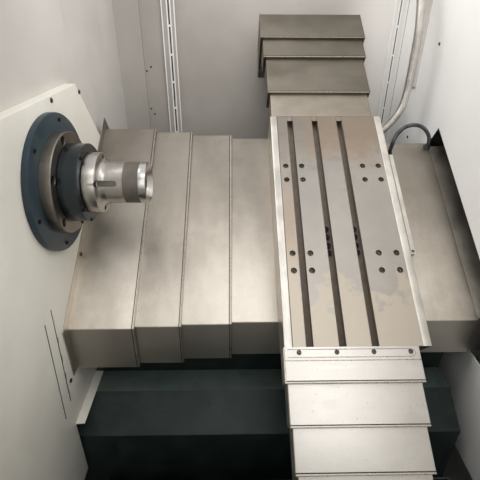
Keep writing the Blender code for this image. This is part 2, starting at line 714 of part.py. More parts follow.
def build_spindle():
    centre = (0.0, AXIS_Y, AXIS_Z)
    ring_face = PLATE_FACE + GAP + RING_THICKNESS
    profile = [(ring_face, RING_RADIUS - 0.004), (ring_face - 0.004, RING_RADIUS),
               (PLATE_FACE + GAP, RING_RADIUS), (PLATE_FACE + GAP, HOUSING_RADIUS),
               (HEADSTOCK_FRONT + GAP, HOUSING_RADIUS), (HEADSTOCK_FRONT + GAP, SHAFT_RADIUS + 0.010),
               (ring_face, SHAFT_RADIUS + 0.010)]
    turned("nose_ring", "ring", machine, profile, centre, 64, closed=True)
    cap_face = ring_face + GAP + CAP_THICKNESS
    profile = [(cap_face, CAP_RADIUS - 0.002), (cap_face - 0.002, CAP_RADIUS),
               (ring_face + GAP, CAP_RADIUS), (ring_face + GAP, SHAFT_RADIUS + RUNNING_GAP),
               (cap_face, SHAFT_RADIUS + RUNNING_GAP)]
    cap = turned("bearing_cap", "cap", machine, profile, centre, 64, closed=True)
    for k in range(6):
        turn = math.radians(60.0 * k) + BOLT_TURN
        place = (cap_face - CAP_BOLT_DEPTH, AXIS_Y - CAP_BOLT_CIRCLE * math.cos(turn),
                 AXIS_Z + CAP_BOLT_CIRCLE * math.sin(turn))
        cut(cap, rod_cutter(f"cap_counterbore_{k}", machine, place, (1, 0, 0), 2.0 * CAP_BOLT_DEPTH,
                            CAP_BOLT_RADIUS, 16))

    adapter_back = cap_face + RUNNING_GAP
    adapter_face = adapter_back + ADAPTER_LENGTH
    profile = [(adapter_face, ADAPTER_RADIUS - 0.002), (adapter_face - 0.002, ADAPTER_RADIUS),
               (adapter_back + 0.001, ADAPTER_RADIUS), (adapter_back, ADAPTER_RADIUS - 0.001),
               (adapter_back, SHAFT_BORE), (adapter_face, SHAFT_BORE)]
    turned("adapter_flange", "black", machine, profile, centre, 56, closed=True)

    shaft_right = adapter_back - GAP
    profile = [(shaft_right, SHAFT_RADIUS), (SHAFT_END, SHAFT_RADIUS), (SHAFT_END, SHAFT_BORE),
               (shaft_right, SHAFT_BORE)]
    turned("spindle_shaft", "steel", machine, profile, centre, 40, closed=True)

    disc_back = adapter_face + GAP
    disc_face = disc_back + DISC_LENGTH
    fillet = 0.014
    inner = COLLET_OUTER + RUNNING_GAP
    profile = [(TUBE_END, TUBE_RADIUS), (disc_face + fillet, TUBE_RADIUS)]
    for k in range(1, 5):
        turn = math.radians(90.0) * k / 4.0
        profile.append((disc_face + fillet * (1.0 - math.sin(turn)),
                        TUBE_RADIUS + fillet * (1.0 - math.cos(turn))))
    profile += [(disc_face, DISC_RADIUS - 0.001), (disc_face - 0.001, DISC_RADIUS),
                (disc_back + 0.001, DISC_RADIUS), (disc_back, DISC_RADIUS - 0.001),
                (disc_back, inner), (TUBE_END, inner)]
    chuck = turned("chuck_body", "steel", machine, profile, centre, 56, closed=True)
    for k in range(CHUCK_BOLT_COUNT):
        turn = BOLT_TURN + 2.0 * math.pi * k / CHUCK_BOLT_COUNT
        place = (disc_face - CHUCK_BOLT_DEPTH, AXIS_Y - CHUCK_BOLT_CIRCLE * math.cos(turn),
                 AXIS_Z + CHUCK_BOLT_CIRCLE * math.sin(turn))
        cut(chuck, rod_cutter(f"chuck_bolt_{k}", machine, place, (1, 0, 0), 0.05, CHUCK_BOLT_RADIUS, 16))
    for k in range(2):
        turn = BOLT_TURN + math.pi * k
        direction = Vector((0.0, -math.cos(turn), math.sin(turn)))
        start = Vector(centre) + direction * (TUBE_RADIUS - 0.004)
        start.x = KEYWAY_END - KEYWAY_WIDTH / 2.0
        cut(chuck, rod_cutter(f"keyway_end_{k}", machine, start, direction, 0.05, KEYWAY_WIDTH / 2.0, 20))
        bm = bmesh.new()
        bmesh.ops.create_cube(bm, size=1.0)
        length = KEYWAY_END - KEYWAY_WIDTH / 2.0 - disc_face + 0.002
        bmesh.ops.scale(bm, vec=(length, KEYWAY_WIDTH, 0.05), verts=bm.verts)
        bmesh.ops.translate(bm, vec=(-length / 2.0, 0.0, 0.025), verts=bm.verts)
        slot = add_object(f"keyway_{k}", mesh_from(bm, f"keyway_{k}"), None, machine)
        slot.location = start
        slot.rotation_euler = (math.atan2(-direction.y, direction.z), 0.0, 0.0)
        cut(chuck, slot)

    nose = TUBE_END + GAP
    mouth = nose + COLLET_LENGTH
    profile = [(mouth, TUBE_RADIUS - 0.0018), (mouth - 0.0018, TUBE_RADIUS), (nose, TUBE_RADIUS),
               (nose, COLLET_OUTER), (disc_back + 0.012, COLLET_OUTER),
               (disc_back + 0.012, COLLET_BORE), (mouth - 0.012, COLLET_BORE),
               (mouth, COLLET_BORE + 0.0075)]
    turned("collet", "steel", machine, profile, centre, 48, closed=True)

    pulley_right = HEADSTOCK_FRONT - HEADSTOCK_LENGTH - 0.006
    pulley_left = pulley_right - PULLEY_WIDTH
    ring("spindle_pulley", "cast_grey", machine, pulley_right, pulley_left, SPINDLE_PULLEY_RADIUS,
         SHAFT_RADIUS + GAP, centre, 48)
    motor_z = SHELF_Z + GAP + MOTOR_SIZE / 2.0
    motor_centre = (0.0, MOTOR_Y, motor_z)
    motor_face = pulley_right + 0.040
    profile = [(motor_face - GAP, 0.0), (motor_face - GAP, 0.019), (pulley_right, 0.019),
               (pulley_right, MOTOR_PULLEY_RADIUS - 0.001), (pulley_right - 0.001, MOTOR_PULLEY_RADIUS),
               (pulley_left + 0.001, MOTOR_PULLEY_RADIUS), (pulley_left, MOTOR_PULLEY_RADIUS - 0.001),
               (pulley_left, 0.0)]
    turned("motor_pulley", "cast_grey", machine, profile, motor_centre, 40)
    half = MOTOR_SIZE / 2.0
    motor = box("spindle_motor", "black", machine, (motor_face, MOTOR_Y - half, motor_z - half),
                (motor_face + MOTOR_LENGTH, MOTOR_Y + half, motor_z + half))
    bevelled(motor, 0.020)
    build_belt(pulley_right, pulley_left, motor_z)


def build_belt(right, left, motor_z):
    """Flat belt: two tangent runs and two wrapped arcs, as an inner and an outer loop."""
    start, end = Vector((AXIS_Y, AXIS_Z)), Vector((MOTOR_Y, motor_z))
    span = (end - start).length
    heading = math.atan2(end.y - start.y, end.x - start.x)

    def loop(extra):
        big, small = SPINDLE_PULLEY_RADIUS + extra, MOTOR_PULLEY_RADIUS + extra
        spread = math.acos((big - small) / span)
        points = []
        for centre, radius, first, last in ((start, big, spread, 2.0 * math.pi - spread),
                                            (end, small, -spread, spread)):
            step = (last - first) / 16.0
            reach = radius / math.cos(step / 2.0)
            for k in range(17):
                turn = heading + first + step * k
                points.append((centre.x + reach * math.cos(turn), centre.y + reach * math.sin(turn)))
        return points

    outline = [loop(RUNNING_GAP + BELT_THICKNESS), list(reversed(loop(RUNNING_GAP)))]
    prism("drive_belt", "rubber", machine, outline, left + 0.002, right - 0.002, "YZ")


def build_headstock():
    rear = HEADSTOCK_FRONT - HEADSTOCK_LENGTH
    half = HEADSTOCK_WIDTH / 2.0
    base = SHELF_Z + GAP
    outline = [(AXIS_Y - half - 0.03, base), (AXIS_Y + half + 0.03, base),
               (AXIS_Y + half + 0.03, base + 0.03), (AXIS_Y + half, base + 0.05),
               (AXIS_Y + half, HEADSTOCK_TOP - 0.06), (AXIS_Y + half - 0.06, HEADSTOCK_TOP),
               (AXIS_Y - half + 0.06, HEADSTOCK_TOP), (AXIS_Y - half, HEADSTOCK_TOP - 0.06),
               (AXIS_Y - half, base + 0.05), (AXIS_Y - half - 0.03, base + 0.03)]
    block = prism("headstock", "cast_green", machine, outline, rear, HEADSTOCK_FRONT, "YZ")
    bore = rod_cutter("headstock_bore", machine, (rear - 0.01, AXIS_Y, AXIS_Z), (1, 0, 0),
                      HEADSTOCK_LENGTH + 0.02, SHAFT_RADIUS + RUNNING_GAP, 40)
    cut(block, bore)


# Cream cover of the headstock and the panel in front of it.

def open_tray(name, finish, outline, face, back, foot=None):
    """Flat face with edges turned back all round, apart from the edges listed in foot, which
    is the index of one edge turned forward instead."""
    bm = bmesh.new()
    front = [bm.verts.new((face, y, z)) for y, z in outline]
    bm.faces.new(front)
    count = len(outline)
    rear = [bm.verts.new((back, y, z)) for y, z in outline]
    for k in range(count):
        if foot is not None and k in foot:
            continue
        a, b = k, (k + 1) % count
        bm.faces.new((front[a], rear[a], rear[b], front[b]))
    if foot is not None:
        a, b = foot[0], (foot[0] + 1) % count
        ahead = [bm.verts.new((face + 0.020, *outline[k])) for k in (a, b)]
        bm.faces.new((front[b], front[a], ahead[0], ahead[1]))
    loose = [v for v in bm.verts if not v.link_faces]
    bmesh.ops.delete(bm, geom=loose, context="VERTS")
    item = add_object(name, mesh_from_open(bm, name), finish, machine)
    solidify = item.modifiers.new("sheet", "SOLIDIFY")
    solidify.thickness = 0.0015
    solidify.offset = -1.0
    solidify.use_even_offset = True
    return item


def mesh_from_open(bm, name):
    mesh = bpy.data.meshes.new(name)
    bm.to_mesh(mesh)
    bm.free()
    return mesh


def build_headstock_covers():
    """One cream sheet: the headstock's cover, with the side panel in front of it."""
    back = LEFT_WALL_X + GAP
    corner = level(PLATE_REAR, Z_COVER_TOP)
    floor = SHELF_Z + 0.0018
    front = FRONT_PLANE + SHELL + GAP
    foot_end = level(BED_LOW, -TABLE_THICKNESS - X_GUIDE_STACK - SADDLE_THICKNESS - Z_GUIDE_STACK)[0]
    outline = [(BASE_FRONT - 0.006, floor), (foot_end - 0.001, floor), (corner[0], floor), corner,
               (PLATE_CORNER, PLATE_TOP), (front, PLATE_TOP), (front, TRAY_TOP),
               (BASE_FRONT - 0.006, TRAY_TOP)]
    plate = open_tray("headstock_plate", "cream", outline, PLATE_FACE, back, foot=(0, 1))
    cut(plate, rod_cutter("plate_hole", machine, (PLATE_FACE - 0.03, AXIS_Y, AXIS_Z), (1, 0, 0), 0.06,
                          HOUSING_RADIUS + 0.002, 48))


# Cast base: a slanted bed with a shelf in front, and a level block under the headstock.

def build_base():
    top = -TABLE_THICKNESS - X_GUIDE_STACK - SADDLE_THICKNESS - Z_GUIDE_STACK
    floor = -TABLE_HEIGHT
    bed_front = level(BED_LOW, top)
    bed_rear = level(BED_HIGH, top)
    outline = [(BASE_FRONT, floor), (BASE_REAR, floor), (BASE_REAR, bed_rear[1] - 0.25),
               (bed_rear[0] + 0.05, bed_rear[1] - 0.04), bed_rear, bed_front,
               (bed_front[0], SHELF_Z), (SHELF_FRONT, SHELF_Z), (BASE_FRONT, SHELF_Z - 0.055)]
    base = prism("base_casting", "cast_green", machine, outline, BED_LEFT, BED_RIGHT, "YZ")
    outline = [(BASE_FRONT, floor), (BASE_REAR, floor), (BASE_REAR, SHELF_Z),
               (SHELF_FRONT, SHELF_Z), (BASE_FRONT, SHELF_Z - 0.055)]
    block = prism("headstock_block", None, machine, outline, BASE_LEFT, BED_LEFT + 0.05, "YZ")
    cut(base, block, "UNION")

    journal = SCREW_JOURNAL_LENGTH / 2.0
    for side, x in (("left", BED_LEFT + Z_SCREW_START + journal), ("right", BED_RIGHT - journal)):
        half = BEARING_BLOCK_LENGTH / 2.0
        bearing = box(f"bearing_block_{side}", None, bed, (x - half, Z_SCREW_PLACE - BEARING_BLOCK_HALF,
                                                           top - 0.01),
                      (x + half, Z_SCREW_PLACE + BEARING_BLOCK_HALF, top + 2.0 * Z_SCREW_LIFT))
        cut(base, bearing, "UNION")
    bore = rod_cutter("bearing_bore", bed, (BED_LEFT, Z_SCREW_PLACE, top + Z_SCREW_LIFT), (1, 0, 0),
                      BED_RIGHT - BED_LEFT + 0.01, Z_SCREW_RADIUS * SCREW_JOURNAL_SHARE + RUNNING_GAP)
    cut(base, bore)


# Guards.

def build_walls():
    bottom = TRAY_TOP
    front = FRONT_PLANE + SHELL + GAP
    rear = REAR_WALL_Y - POST_WIDTH * 0.75 - GAP
    outline = [(front, bottom), (BASE_FRONT - 0.005, bottom), (BASE_FRONT - 0.005, SHELF_Z + GAP),
               (rear, SHELF_Z + GAP), (rear, ENCLOSURE_TOP), (front, ENCLOSURE_TOP)]
    left = prism("left_wall", "wall", machine, outline, LEFT_WALL_X - SHEET, LEFT_WALL_X, "YZ")
    cut(left, rod_cutter("left_wall_hole", machine, (LEFT_WALL_X - 0.02, AXIS_Y, AXIS_Z), (1, 0, 0),
                         0.04, HOUSING_RADIUS + 0.004, 48))
    guard = Z_COVER_TOP + 0.015
    slot_end = RIGHT_COVER_REAR + 0.025
    low, high, deep = level(0.020, guard), level(slot_end, guard), level(slot_end, guard - 0.090)
    back = REAR_WALL_Y - STRIP_PROUD - GAP
    sill = level(Z_COVER_FRONT, Z_COVER_TOP)[1] - Z_COVER_SKIRT - RIGHT_WALL_SILL
    outline = [[(front, bottom), (back, bottom), (back, ENCLOSURE_TOP), (front, ENCLOSURE_TOP)],
               [low, high, deep, (deep[0], sill), (low[0], sill)]]
    prism("right_wall", "white", machine, outline, RIGHT_WALL_X, RIGHT_WALL_X + SHEET, "YZ")

    post = LEFT_WALL_X + POST_WIDTH
    strip = post + POST_WIDTH
    line = [(LEFT_WALL_X - SHEET, REAR_WALL_Y - POST_WIDTH * 0.75), (LEFT_WALL_X, REAR_WALL_Y - POST_WIDTH * 0.75),
            (post, REAR_WALL_Y),
            (strip, REAR_WALL_Y), (strip + 0.001, REAR_WALL_Y - STRIP_PROUD),
            (strip + 0.044, REAR_WALL_Y - STRIP_PROUD), (strip + 0.045, REAR_WALL_Y),
            (RIGHT_WALL_X - 0.038, REAR_WALL_Y), (RIGHT_WALL_X - 0.037, REAR_WALL_Y - STRIP_PROUD),
            (RIGHT_WALL_X + SHEET, REAR_WALL_Y - STRIP_PROUD)]
    rows = [[(x, y, z) for x, y in line] for z in (bottom, ENCLOSURE_TOP)]
    folded_sheet("rear_wall", "wall", machine, rows)


def shell_box(name, finish, low, high, open_sides):
    """Sheet metal casing between two corners, with some of its sides left open."""
    bm = bmesh.new()
    bmesh.ops.create_cube(bm, size=1.0)
    sides = {"left": (-1, 0, 0), "right": (1, 0, 0), "front": (0, -1, 0), "rear": (0, 1, 0),
             "bottom": (0, 0, -1), "top": (0, 0, 1)}
    gone = [face for face in bm.faces for side in open_sides
            if (face.normal - Vector(sides[side])).length < 0.1]
    bmesh.ops.delete(bm, geom=gone, context="FACES")
    bmesh.ops.scale(bm, vec=[b - a for a, b in zip(low, high)], verts=bm.verts)
    middle = [(a + b) / 2.0 for a, b in zip(low, high)]
    bmesh.ops.translate(bm, vec=middle, verts=bm.verts)
    item = add_object(name, mesh_from_open(bm, name), finish, machine)
    solidify = item.modifiers.new("sheet", "SOLIDIFY")
    solidify.thickness = SHELL
    solidify.offset = -1.0
    solidify.use_even_offset = True
    return item


def build_cabinets():
    floor = -TABLE_HEIGHT + PLINTH
    rear = REAR_WALL_Y - POST_WIDTH * 0.75 - GAP
    shell_box("left_cabinet", "white", (CABINET_LEFT, FRONT_PLANE, floor),
              (LEFT_WALL_X - SHEET - GAP, rear, ENCLOSURE_TOP), ("right", "bottom"))
    shell_box("right_cabinet", "white", (RIGHT_WALL_X + SHEET + GAP, FRONT_PLANE, floor),
              (CABINET_RIGHT, rear, ENCLOSURE_TOP), ("left",))
    back = REAR_WALL_Y + SHEET + GAP
    shell_box("electrical_cabinet", "white", (LEFT_WALL_X, back, TRAY_TOP + 0.02),
              (RIGHT_WALL_X, back + ELECTRIC_DEPTH, ENCLOSURE_TOP - 0.20), ("front",))
    left, right = LEFT_WALL_X - SHEET, RIGHT_WALL_X + SHEET
    outline = [[(left, floor), (right, floor), (right, ENCLOSURE_TOP), (left, ENCLOSURE_TOP)],
               [(OPENING_LEFT, SILL_Z), (OPENING_LEFT, HEADER_Z), (OPENING_RIGHT, HEADER_Z),
                (OPENING_RIGHT, SILL_Z)],
               [(TRAY_LEFT - 0.001, TRAY_BOTTOM - GAP), (TRAY_LEFT - 0.001, TRAY_TOP),
                (TRAY_RIGHT + 0.001, TRAY_TOP), (TRAY_RIGHT + 0.001, TRAY_BOTTOM - GAP)]]
    prism("front_panel", "white", machine, outline, FRONT_PLANE, FRONT_PLANE + SHELL, "XZ")


def build_tray():
    tray = shell_box("chip_tray", "cast_green", (TRAY_LEFT, FRONT_PLANE - 0.004, TRAY_BOTTOM),
                     (TRAY_RIGHT, TRAY_BACK, TRAY_TOP - 0.004), ("top",))
    pull = box("tray_pull", None, machine, (-0.09, FRONT_PLANE - 0.024, TRAY_TOP - 0.06),
               (0.07, FRONT_PLANE - 0.002, TRAY_TOP - 0.045))
    cut(tray, pull, "UNION")


def build_door():
    """Sliding door, modelled where it stands open, in front of the left cabinet."""
    face = FRONT_PLANE - DOOR_STANDOFF
    right = OPENING_RIGHT + 0.010 - DOOR_TRAVEL
    left = right - DOOR_WIDTH
    low, high = SILL_Z - DOOR_LAP, HEADER_Z + DOOR_LAP
    pane_left, pane_right = left + WINDOW_LEFT, right - WINDOW_RIGHT
    pane_low, pane_high = low + WINDOW_LOW, high - WINDOW_HIGH
    window = [(pane_left, pane_low), (pane_left, pane_high), (pane_right, pane_high),
              (pane_right, pane_low)]
    outline = [[(left, low), (right, low), (right, high), (left, high)], window]
    prism("door_frame", "white", machine, outline, face - DOOR_THICKNESS, face, "XZ")
    middle = face - DOOR_THICKNESS / 2.0
    box("door_window", "glass", machine,
        (pane_left + RUNNING_GAP, middle - WINDOW_THICKNESS / 2.0, pane_low + RUNNING_GAP),
        (pane_right - RUNNING_GAP, middle + WINDOW_THICKNESS / 2.0, pane_high - RUNNING_GAP))
    front = face - DOOR_THICKNESS - GAP
    foot = (low + high - HANDLE_LENGTH) / 2.0
    line = [(front, foot), (front - HANDLE_DEPTH, foot),
            (front - HANDLE_DEPTH, foot + HANDLE_LENGTH), (front, foot + HANDLE_LENGTH)]
    rows = [[(x, y, z) for y, z in line]
            for x in (right - HANDLE_INSET - HANDLE_WIDTH, right - HANDLE_INSET)]
    folded_sheet("door_handle", "black", machine, rows, HANDLE_THICKNESS)
    z = high + GAP
    profile = [(FRONT_PLANE - GAP, z), (FRONT_PLANE - GAP, z + RAIL_HEIGHT),
               (face - DOOR_THICKNESS - 0.004, z + RAIL_HEIGHT), (face - DOOR_THICKNESS - 0.004, z)]
    prism("door_rail", "steel", machine, profile, CABINET_LEFT + 0.010, OPENING_RIGHT + 0.020, "YZ")


def build_operator_panel():
    """Operator's console on the right cabinet's front."""
    left, right = RIGHT_WALL_X + 0.035, CABINET_RIGHT - 0.025
    back = FRONT_PLANE - GAP
    slim = CONSOLE_DEPTH * 0.45
    outline = [(back, CONSOLE_LOW), (back, CONSOLE_HIGH), (back - slim, CONSOLE_HIGH - 0.02),
               (back - slim, CONSOLE_LOW + 0.20), (back - CONSOLE_DEPTH, CONSOLE_LOW + 0.10),
               (back - CONSOLE_DEPTH, CONSOLE_LOW + 0.03), (back - CONSOLE_DEPTH + 0.025, CONSOLE_LOW)]
    prism("control_panel", "cream", machine, outline, left, right, "YZ")


def cord(name, finish, points, radius, spacing):
    """Flexible conduit: a smooth curve through the route's points, as a tube."""
    nodes = [Vector(p) for p in points]
    ends = [nodes[0] * 2.0 - nodes[1]] + nodes + [nodes[-1] * 2.0 - nodes[-2]]
    smooth_points = []
    for p0, p1, p2, p3 in zip(ends, ends[1:], ends[2:], ends[3:]):
        steps = max(1, round((p2 - p1).length / spacing))
        for k in range(steps):
            t = k / steps
            smooth_points.append(0.5 * ((2.0 * p1) + (p2 - p0) * t
                                        + (2.0 * p0 - 5.0 * p1 + 4.0 * p2 - p3) * t * t
                                        + (3.0 * p1 - p0 - 3.0 * p2 + p3) * t * t * t))
    smooth_points.append(nodes[-1])
    curve = bpy.data.curves.new(name, "CURVE")
    curve.dimensions = "3D"
    curve.bevel_depth = radius
    curve.bevel_resolution = 2
    curve.use_fill_caps = True
    spline = curve.splines.new("POLY")
    spline.points.add(len(smooth_points) - 1)
    for point, place in zip(spline.points, smooth_points):
        point.co = (*place, 1.0)
    item = add_object(name, curve, finish, machine)
    return item


def build_conduits():
    """The grey one comes down from the rear wall, and the black one arches over a bed cover."""
    wall = REAR_WALL_Y - GAP
    route = [(0.388, wall, 0.790), (0.388, wall - 0.030, 0.790), (0.388, 0.740, 0.760),
             (0.388, 0.645, 0.680), (0.388, 0.600, 0.575), (0.391, 0.600, 0.490),
             (0.391, 0.600, 0.425), (0.389, 0.600, 0.379), (0.382, 0.600, 0.340),
             (0.363, 0.600, 0.306), (0.340, 0.598, 0.281), (0.315, 0.590, 0.262)]
    cord("grey_conduit", "conduit", route, GREY_CONDUIT_RADIUS, 0.030)

    cover = Z_COVER_TOP - (Z_COVER_COUNT - 1) * Z_COVER_STEP + GAP
    start = GUARD_STRIP_X + GUARD_STRIP_WIDTH / 2.0
    end = start + 0.115
    first, last = GUARD_STRIP_END + 0.012, RIGHT_COVER_REAR - 0.015
    route = [(start, *level(first, cover)), (start, *level(first, cover + 0.012)),
             (0.3235, 0.474, 0.276), (0.333, 0.479, 0.299), (0.356, 0.490, 0.316),
             (0.385, 0.495, 0.321), (0.412, 0.497, 0.312), (0.431, 0.497, 0.290),
             (end, *level(last, cover + 0.012)), (end, *level(last, cover))]
    cord("black_conduit", "rubber", route, BLACK_CONDUIT_RADIUS, 0.012)


def build_all():
    build_base()
    build_headstock()
    build_headstock_covers()
    build_spindle()
    build_bed_guides()
    build_saddle()
    build_cross_guides()
    build_cross_drive()
    build_table()
    build_z_covers()
    build_rear_slant_covers()
    build_front_slant_covers()
    build_right_covers()
    build_walls()
    build_cabinets()
    build_tray()
    build_door()
    build_operator_panel()
    build_conduits()


build_all()
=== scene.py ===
import math

import bmesh
import bpy
from mathutils import Matrix, Vector


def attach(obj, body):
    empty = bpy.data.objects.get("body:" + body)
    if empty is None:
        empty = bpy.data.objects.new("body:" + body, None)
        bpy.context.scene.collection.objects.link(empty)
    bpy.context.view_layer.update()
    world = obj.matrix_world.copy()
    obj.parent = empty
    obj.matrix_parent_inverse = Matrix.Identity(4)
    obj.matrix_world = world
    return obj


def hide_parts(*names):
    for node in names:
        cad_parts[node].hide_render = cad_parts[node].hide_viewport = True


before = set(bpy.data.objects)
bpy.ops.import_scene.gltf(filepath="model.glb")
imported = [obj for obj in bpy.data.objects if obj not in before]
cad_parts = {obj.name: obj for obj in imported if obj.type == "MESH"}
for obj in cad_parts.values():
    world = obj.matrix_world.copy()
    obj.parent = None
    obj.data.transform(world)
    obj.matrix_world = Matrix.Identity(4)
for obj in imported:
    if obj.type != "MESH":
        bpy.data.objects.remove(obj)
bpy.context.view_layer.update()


# Camera, floor and light. The operator looks down through the door opening into the machine,
# under an even studio light that comes in from above and from the operator's side.

camera_data = bpy.data.cameras.new("operator_eye")
camera_data.sensor_width = 36.0
camera_data.lens = 29.69
camera_data.shift_x = -0.00125
camera_data.shift_y = -0.061
camera_data.clip_start = 0.02
camera = bpy.data.objects.new("operator_eye", camera_data)
bpy.context.scene.collection.objects.link(camera)
sight, upward = Vector((0.0169, 0.8902, -0.4553)).normalized(), Vector((0.0038, 0.4553, 0.8903))
across = sight.cross(upward).normalized()
turned_eye = Matrix((across, across.cross(sight), -sight)).transposed()
camera.matrix_world = Matrix.Translation((0.0967, -0.8756, 1.4074)) @ turned_eye.to_4x4()
bpy.context.scene.camera = camera
bpy.context.scene.view_settings.view_transform = "Standard"


def soft_lamp(name, place, aim, size, power, color=(1.0, 1.0, 1.0)):
    data = bpy.data.lights.new(name, "AREA")
    data.shape = "SQUARE"
    data.size, data.energy, data.color = size, power, color
    lamp = bpy.data.objects.new(name, data)
    bpy.context.scene.collection.objects.link(lamp)
    lamp.location = place
    lamp.rotation_euler = (Vector(aim) - Vector(place)).to_track_quat("-Z", "Y").to_euler()
    return lamp


warm = (1.0, 0.99, 0.97)
soft_lamp("front_high", (0.55, -1.65, 3.3), (0.35, -0.15, 0.9), 1.5, 15.0)
soft_lamp("left_high", (-2.0, 0.0, 5.2), (0.6, 0.2, 1.1), 2.0, 80.0, warm)
soft_lamp("right_high", (1.9, -0.4, 3.4), (-0.3, 0.1, 1.0), 1.4, 11.0)
over_the_work = soft_lamp("over_the_work", (0.20, 0.05, 1.72), (0.35, 0.30, 0.9), 0.60, 3.2, warm)
over_the_work.visible_camera = False
over_the_work.visible_glossy = False
soft_lamp("operator_side", (0.2, -3.4, 2.4), (0.1, 0.0, 0.9), 1.8, 9.0)
soft_lamp("right_side", (3.6, -0.4, 2.2), (0.4, 0.1, 0.9), 1.8, 7.0)
soft_lamp("rear_side", (-0.6, 3.8, 2.4), (0.0, 0.4, 0.9), 2.0, 14.0)

world = bpy.data.worlds.new("studio")
world.use_nodes = True
bpy.context.scene.world = world
studio = world.node_tree
sky, seen, path = (studio.nodes["Background"], studio.nodes.new("ShaderNodeBackground"),
                   studio.nodes.new("ShaderNodeLightPath"))
sky.inputs["Color"].default_value = (1.0, 1.0, 1.0, 1.0)
sky.inputs["Strength"].default_value = 0.62
seen.inputs["Color"].default_value = (0.93, 0.93, 0.93, 1.0)
seen.inputs["Strength"].default_value = 1.0
shown = path.outputs["Is Camera Ray"]
for ray in ("Is Glossy Ray", "Is Transmission Ray"):
    either = studio.nodes.new("ShaderNodeMath")
    either.operation = "MAXIMUM"
    studio.links.new(shown, either.inputs[0])
    studio.links.new(path.outputs[ray], either.inputs[1])
    shown = either.outputs[0]
choice = studio.nodes.new("ShaderNodeMixShader")
studio.links.new(shown, choice.inputs["Fac"])
studio.links.new(sky.outputs["Background"], choice.inputs[1])
studio.links.new(seen.outputs["Background"], choice.inputs[2])
studio.links.new(choice.outputs["Shader"], studio.nodes["World Output"].inputs["Surface"])

bm = bmesh.new()
bmesh.ops.create_grid(bm, x_segments=1, y_segments=1, size=9.0)
floor_mesh = bpy.data.meshes.new("studio_floor")
bm.to_mesh(floor_mesh)
bm.free()
studio_floor = bpy.data.objects.new("studio_floor", floor_mesh)
bpy.context.scene.collection.objects.link(studio_floor)
floor_paint = bpy.data.materials.new("studio_floor")
floor_paint.use_nodes = True
floor_shader = floor_paint.node_tree.nodes["Principled BSDF"]
floor_shader.inputs["Base Color"].default_value = (0.80, 0.80, 0.80, 1.0)
floor_shader.inputs["Roughness"].default_value = 0.8
floor_mesh.materials.append(floor_paint)


# Flexible conduits. A wound metal sleeve comes down from the rear wall behind the right cover,
# and a slim black one arches over that cover beside its guard strip. Glands hold them where
# they pass through sheet.

CORNER = Vector((0.215, -0.2925, 0.80))
SLANT = math.radians(35.0)
UP, FRONT = (0.0, 0.0, 1.0), (0.0, -1.0, 0.0)


def inside(x, y, z):
    """A place told from the table's front left top corner, on level axes."""
    return CORNER + Vector((x, y, z))


def sloped(x, s, n):
    """A place told from that corner, along the slant and square to the table."""
    return CORNER + Vector((x, s * math.cos(SLANT) - n * math.sin(SLANT),
                            s * math.sin(SLANT) + n * math.cos(SLANT)))


def paint(red, green, blue):
    """Colour given as it looks on a screen, 0 to 255."""
    shares = [value / 255.0 for value in (red, green, blue)]
    return (*[v / 12.92 if v <= 0.04045 else ((v + 0.055) / 1.055) ** 2.4 for v in shares], 1.0)


class Reading:
    """A number that varies over a surface. Sums written on it add their nodes."""

    def __init__(self, finish, socket):
        self.finish, self.socket = finish, socket

    def work(self, operation, first, second):
        return self.finish.node("ShaderNodeMath", {"operation": operation}, {0: first, 1: second})

    def __add__(self, other):
        return self.work("ADD", self, other)

    def __radd__(self, other):
        return self.work("ADD", other, self)

    def __sub__(self, other):
        return self.work("SUBTRACT", self, other)

    def __rsub__(self, other):
        return self.work("SUBTRACT", other, self)

    def __mul__(self, other):
        return self.work("MULTIPLY", self, other)

    def __rmul__(self, other):
        return self.work("MULTIPLY", other, self)

    def __gt__(self, other):
        return self.work("GREATER_THAN", self, other)

    def __lt__(self, other):
        return self.work("LESS_THAN", self, other)

    def greater(self, other):
        """The greater of two readings."""
        return self.work("MAXIMUM", self, other)


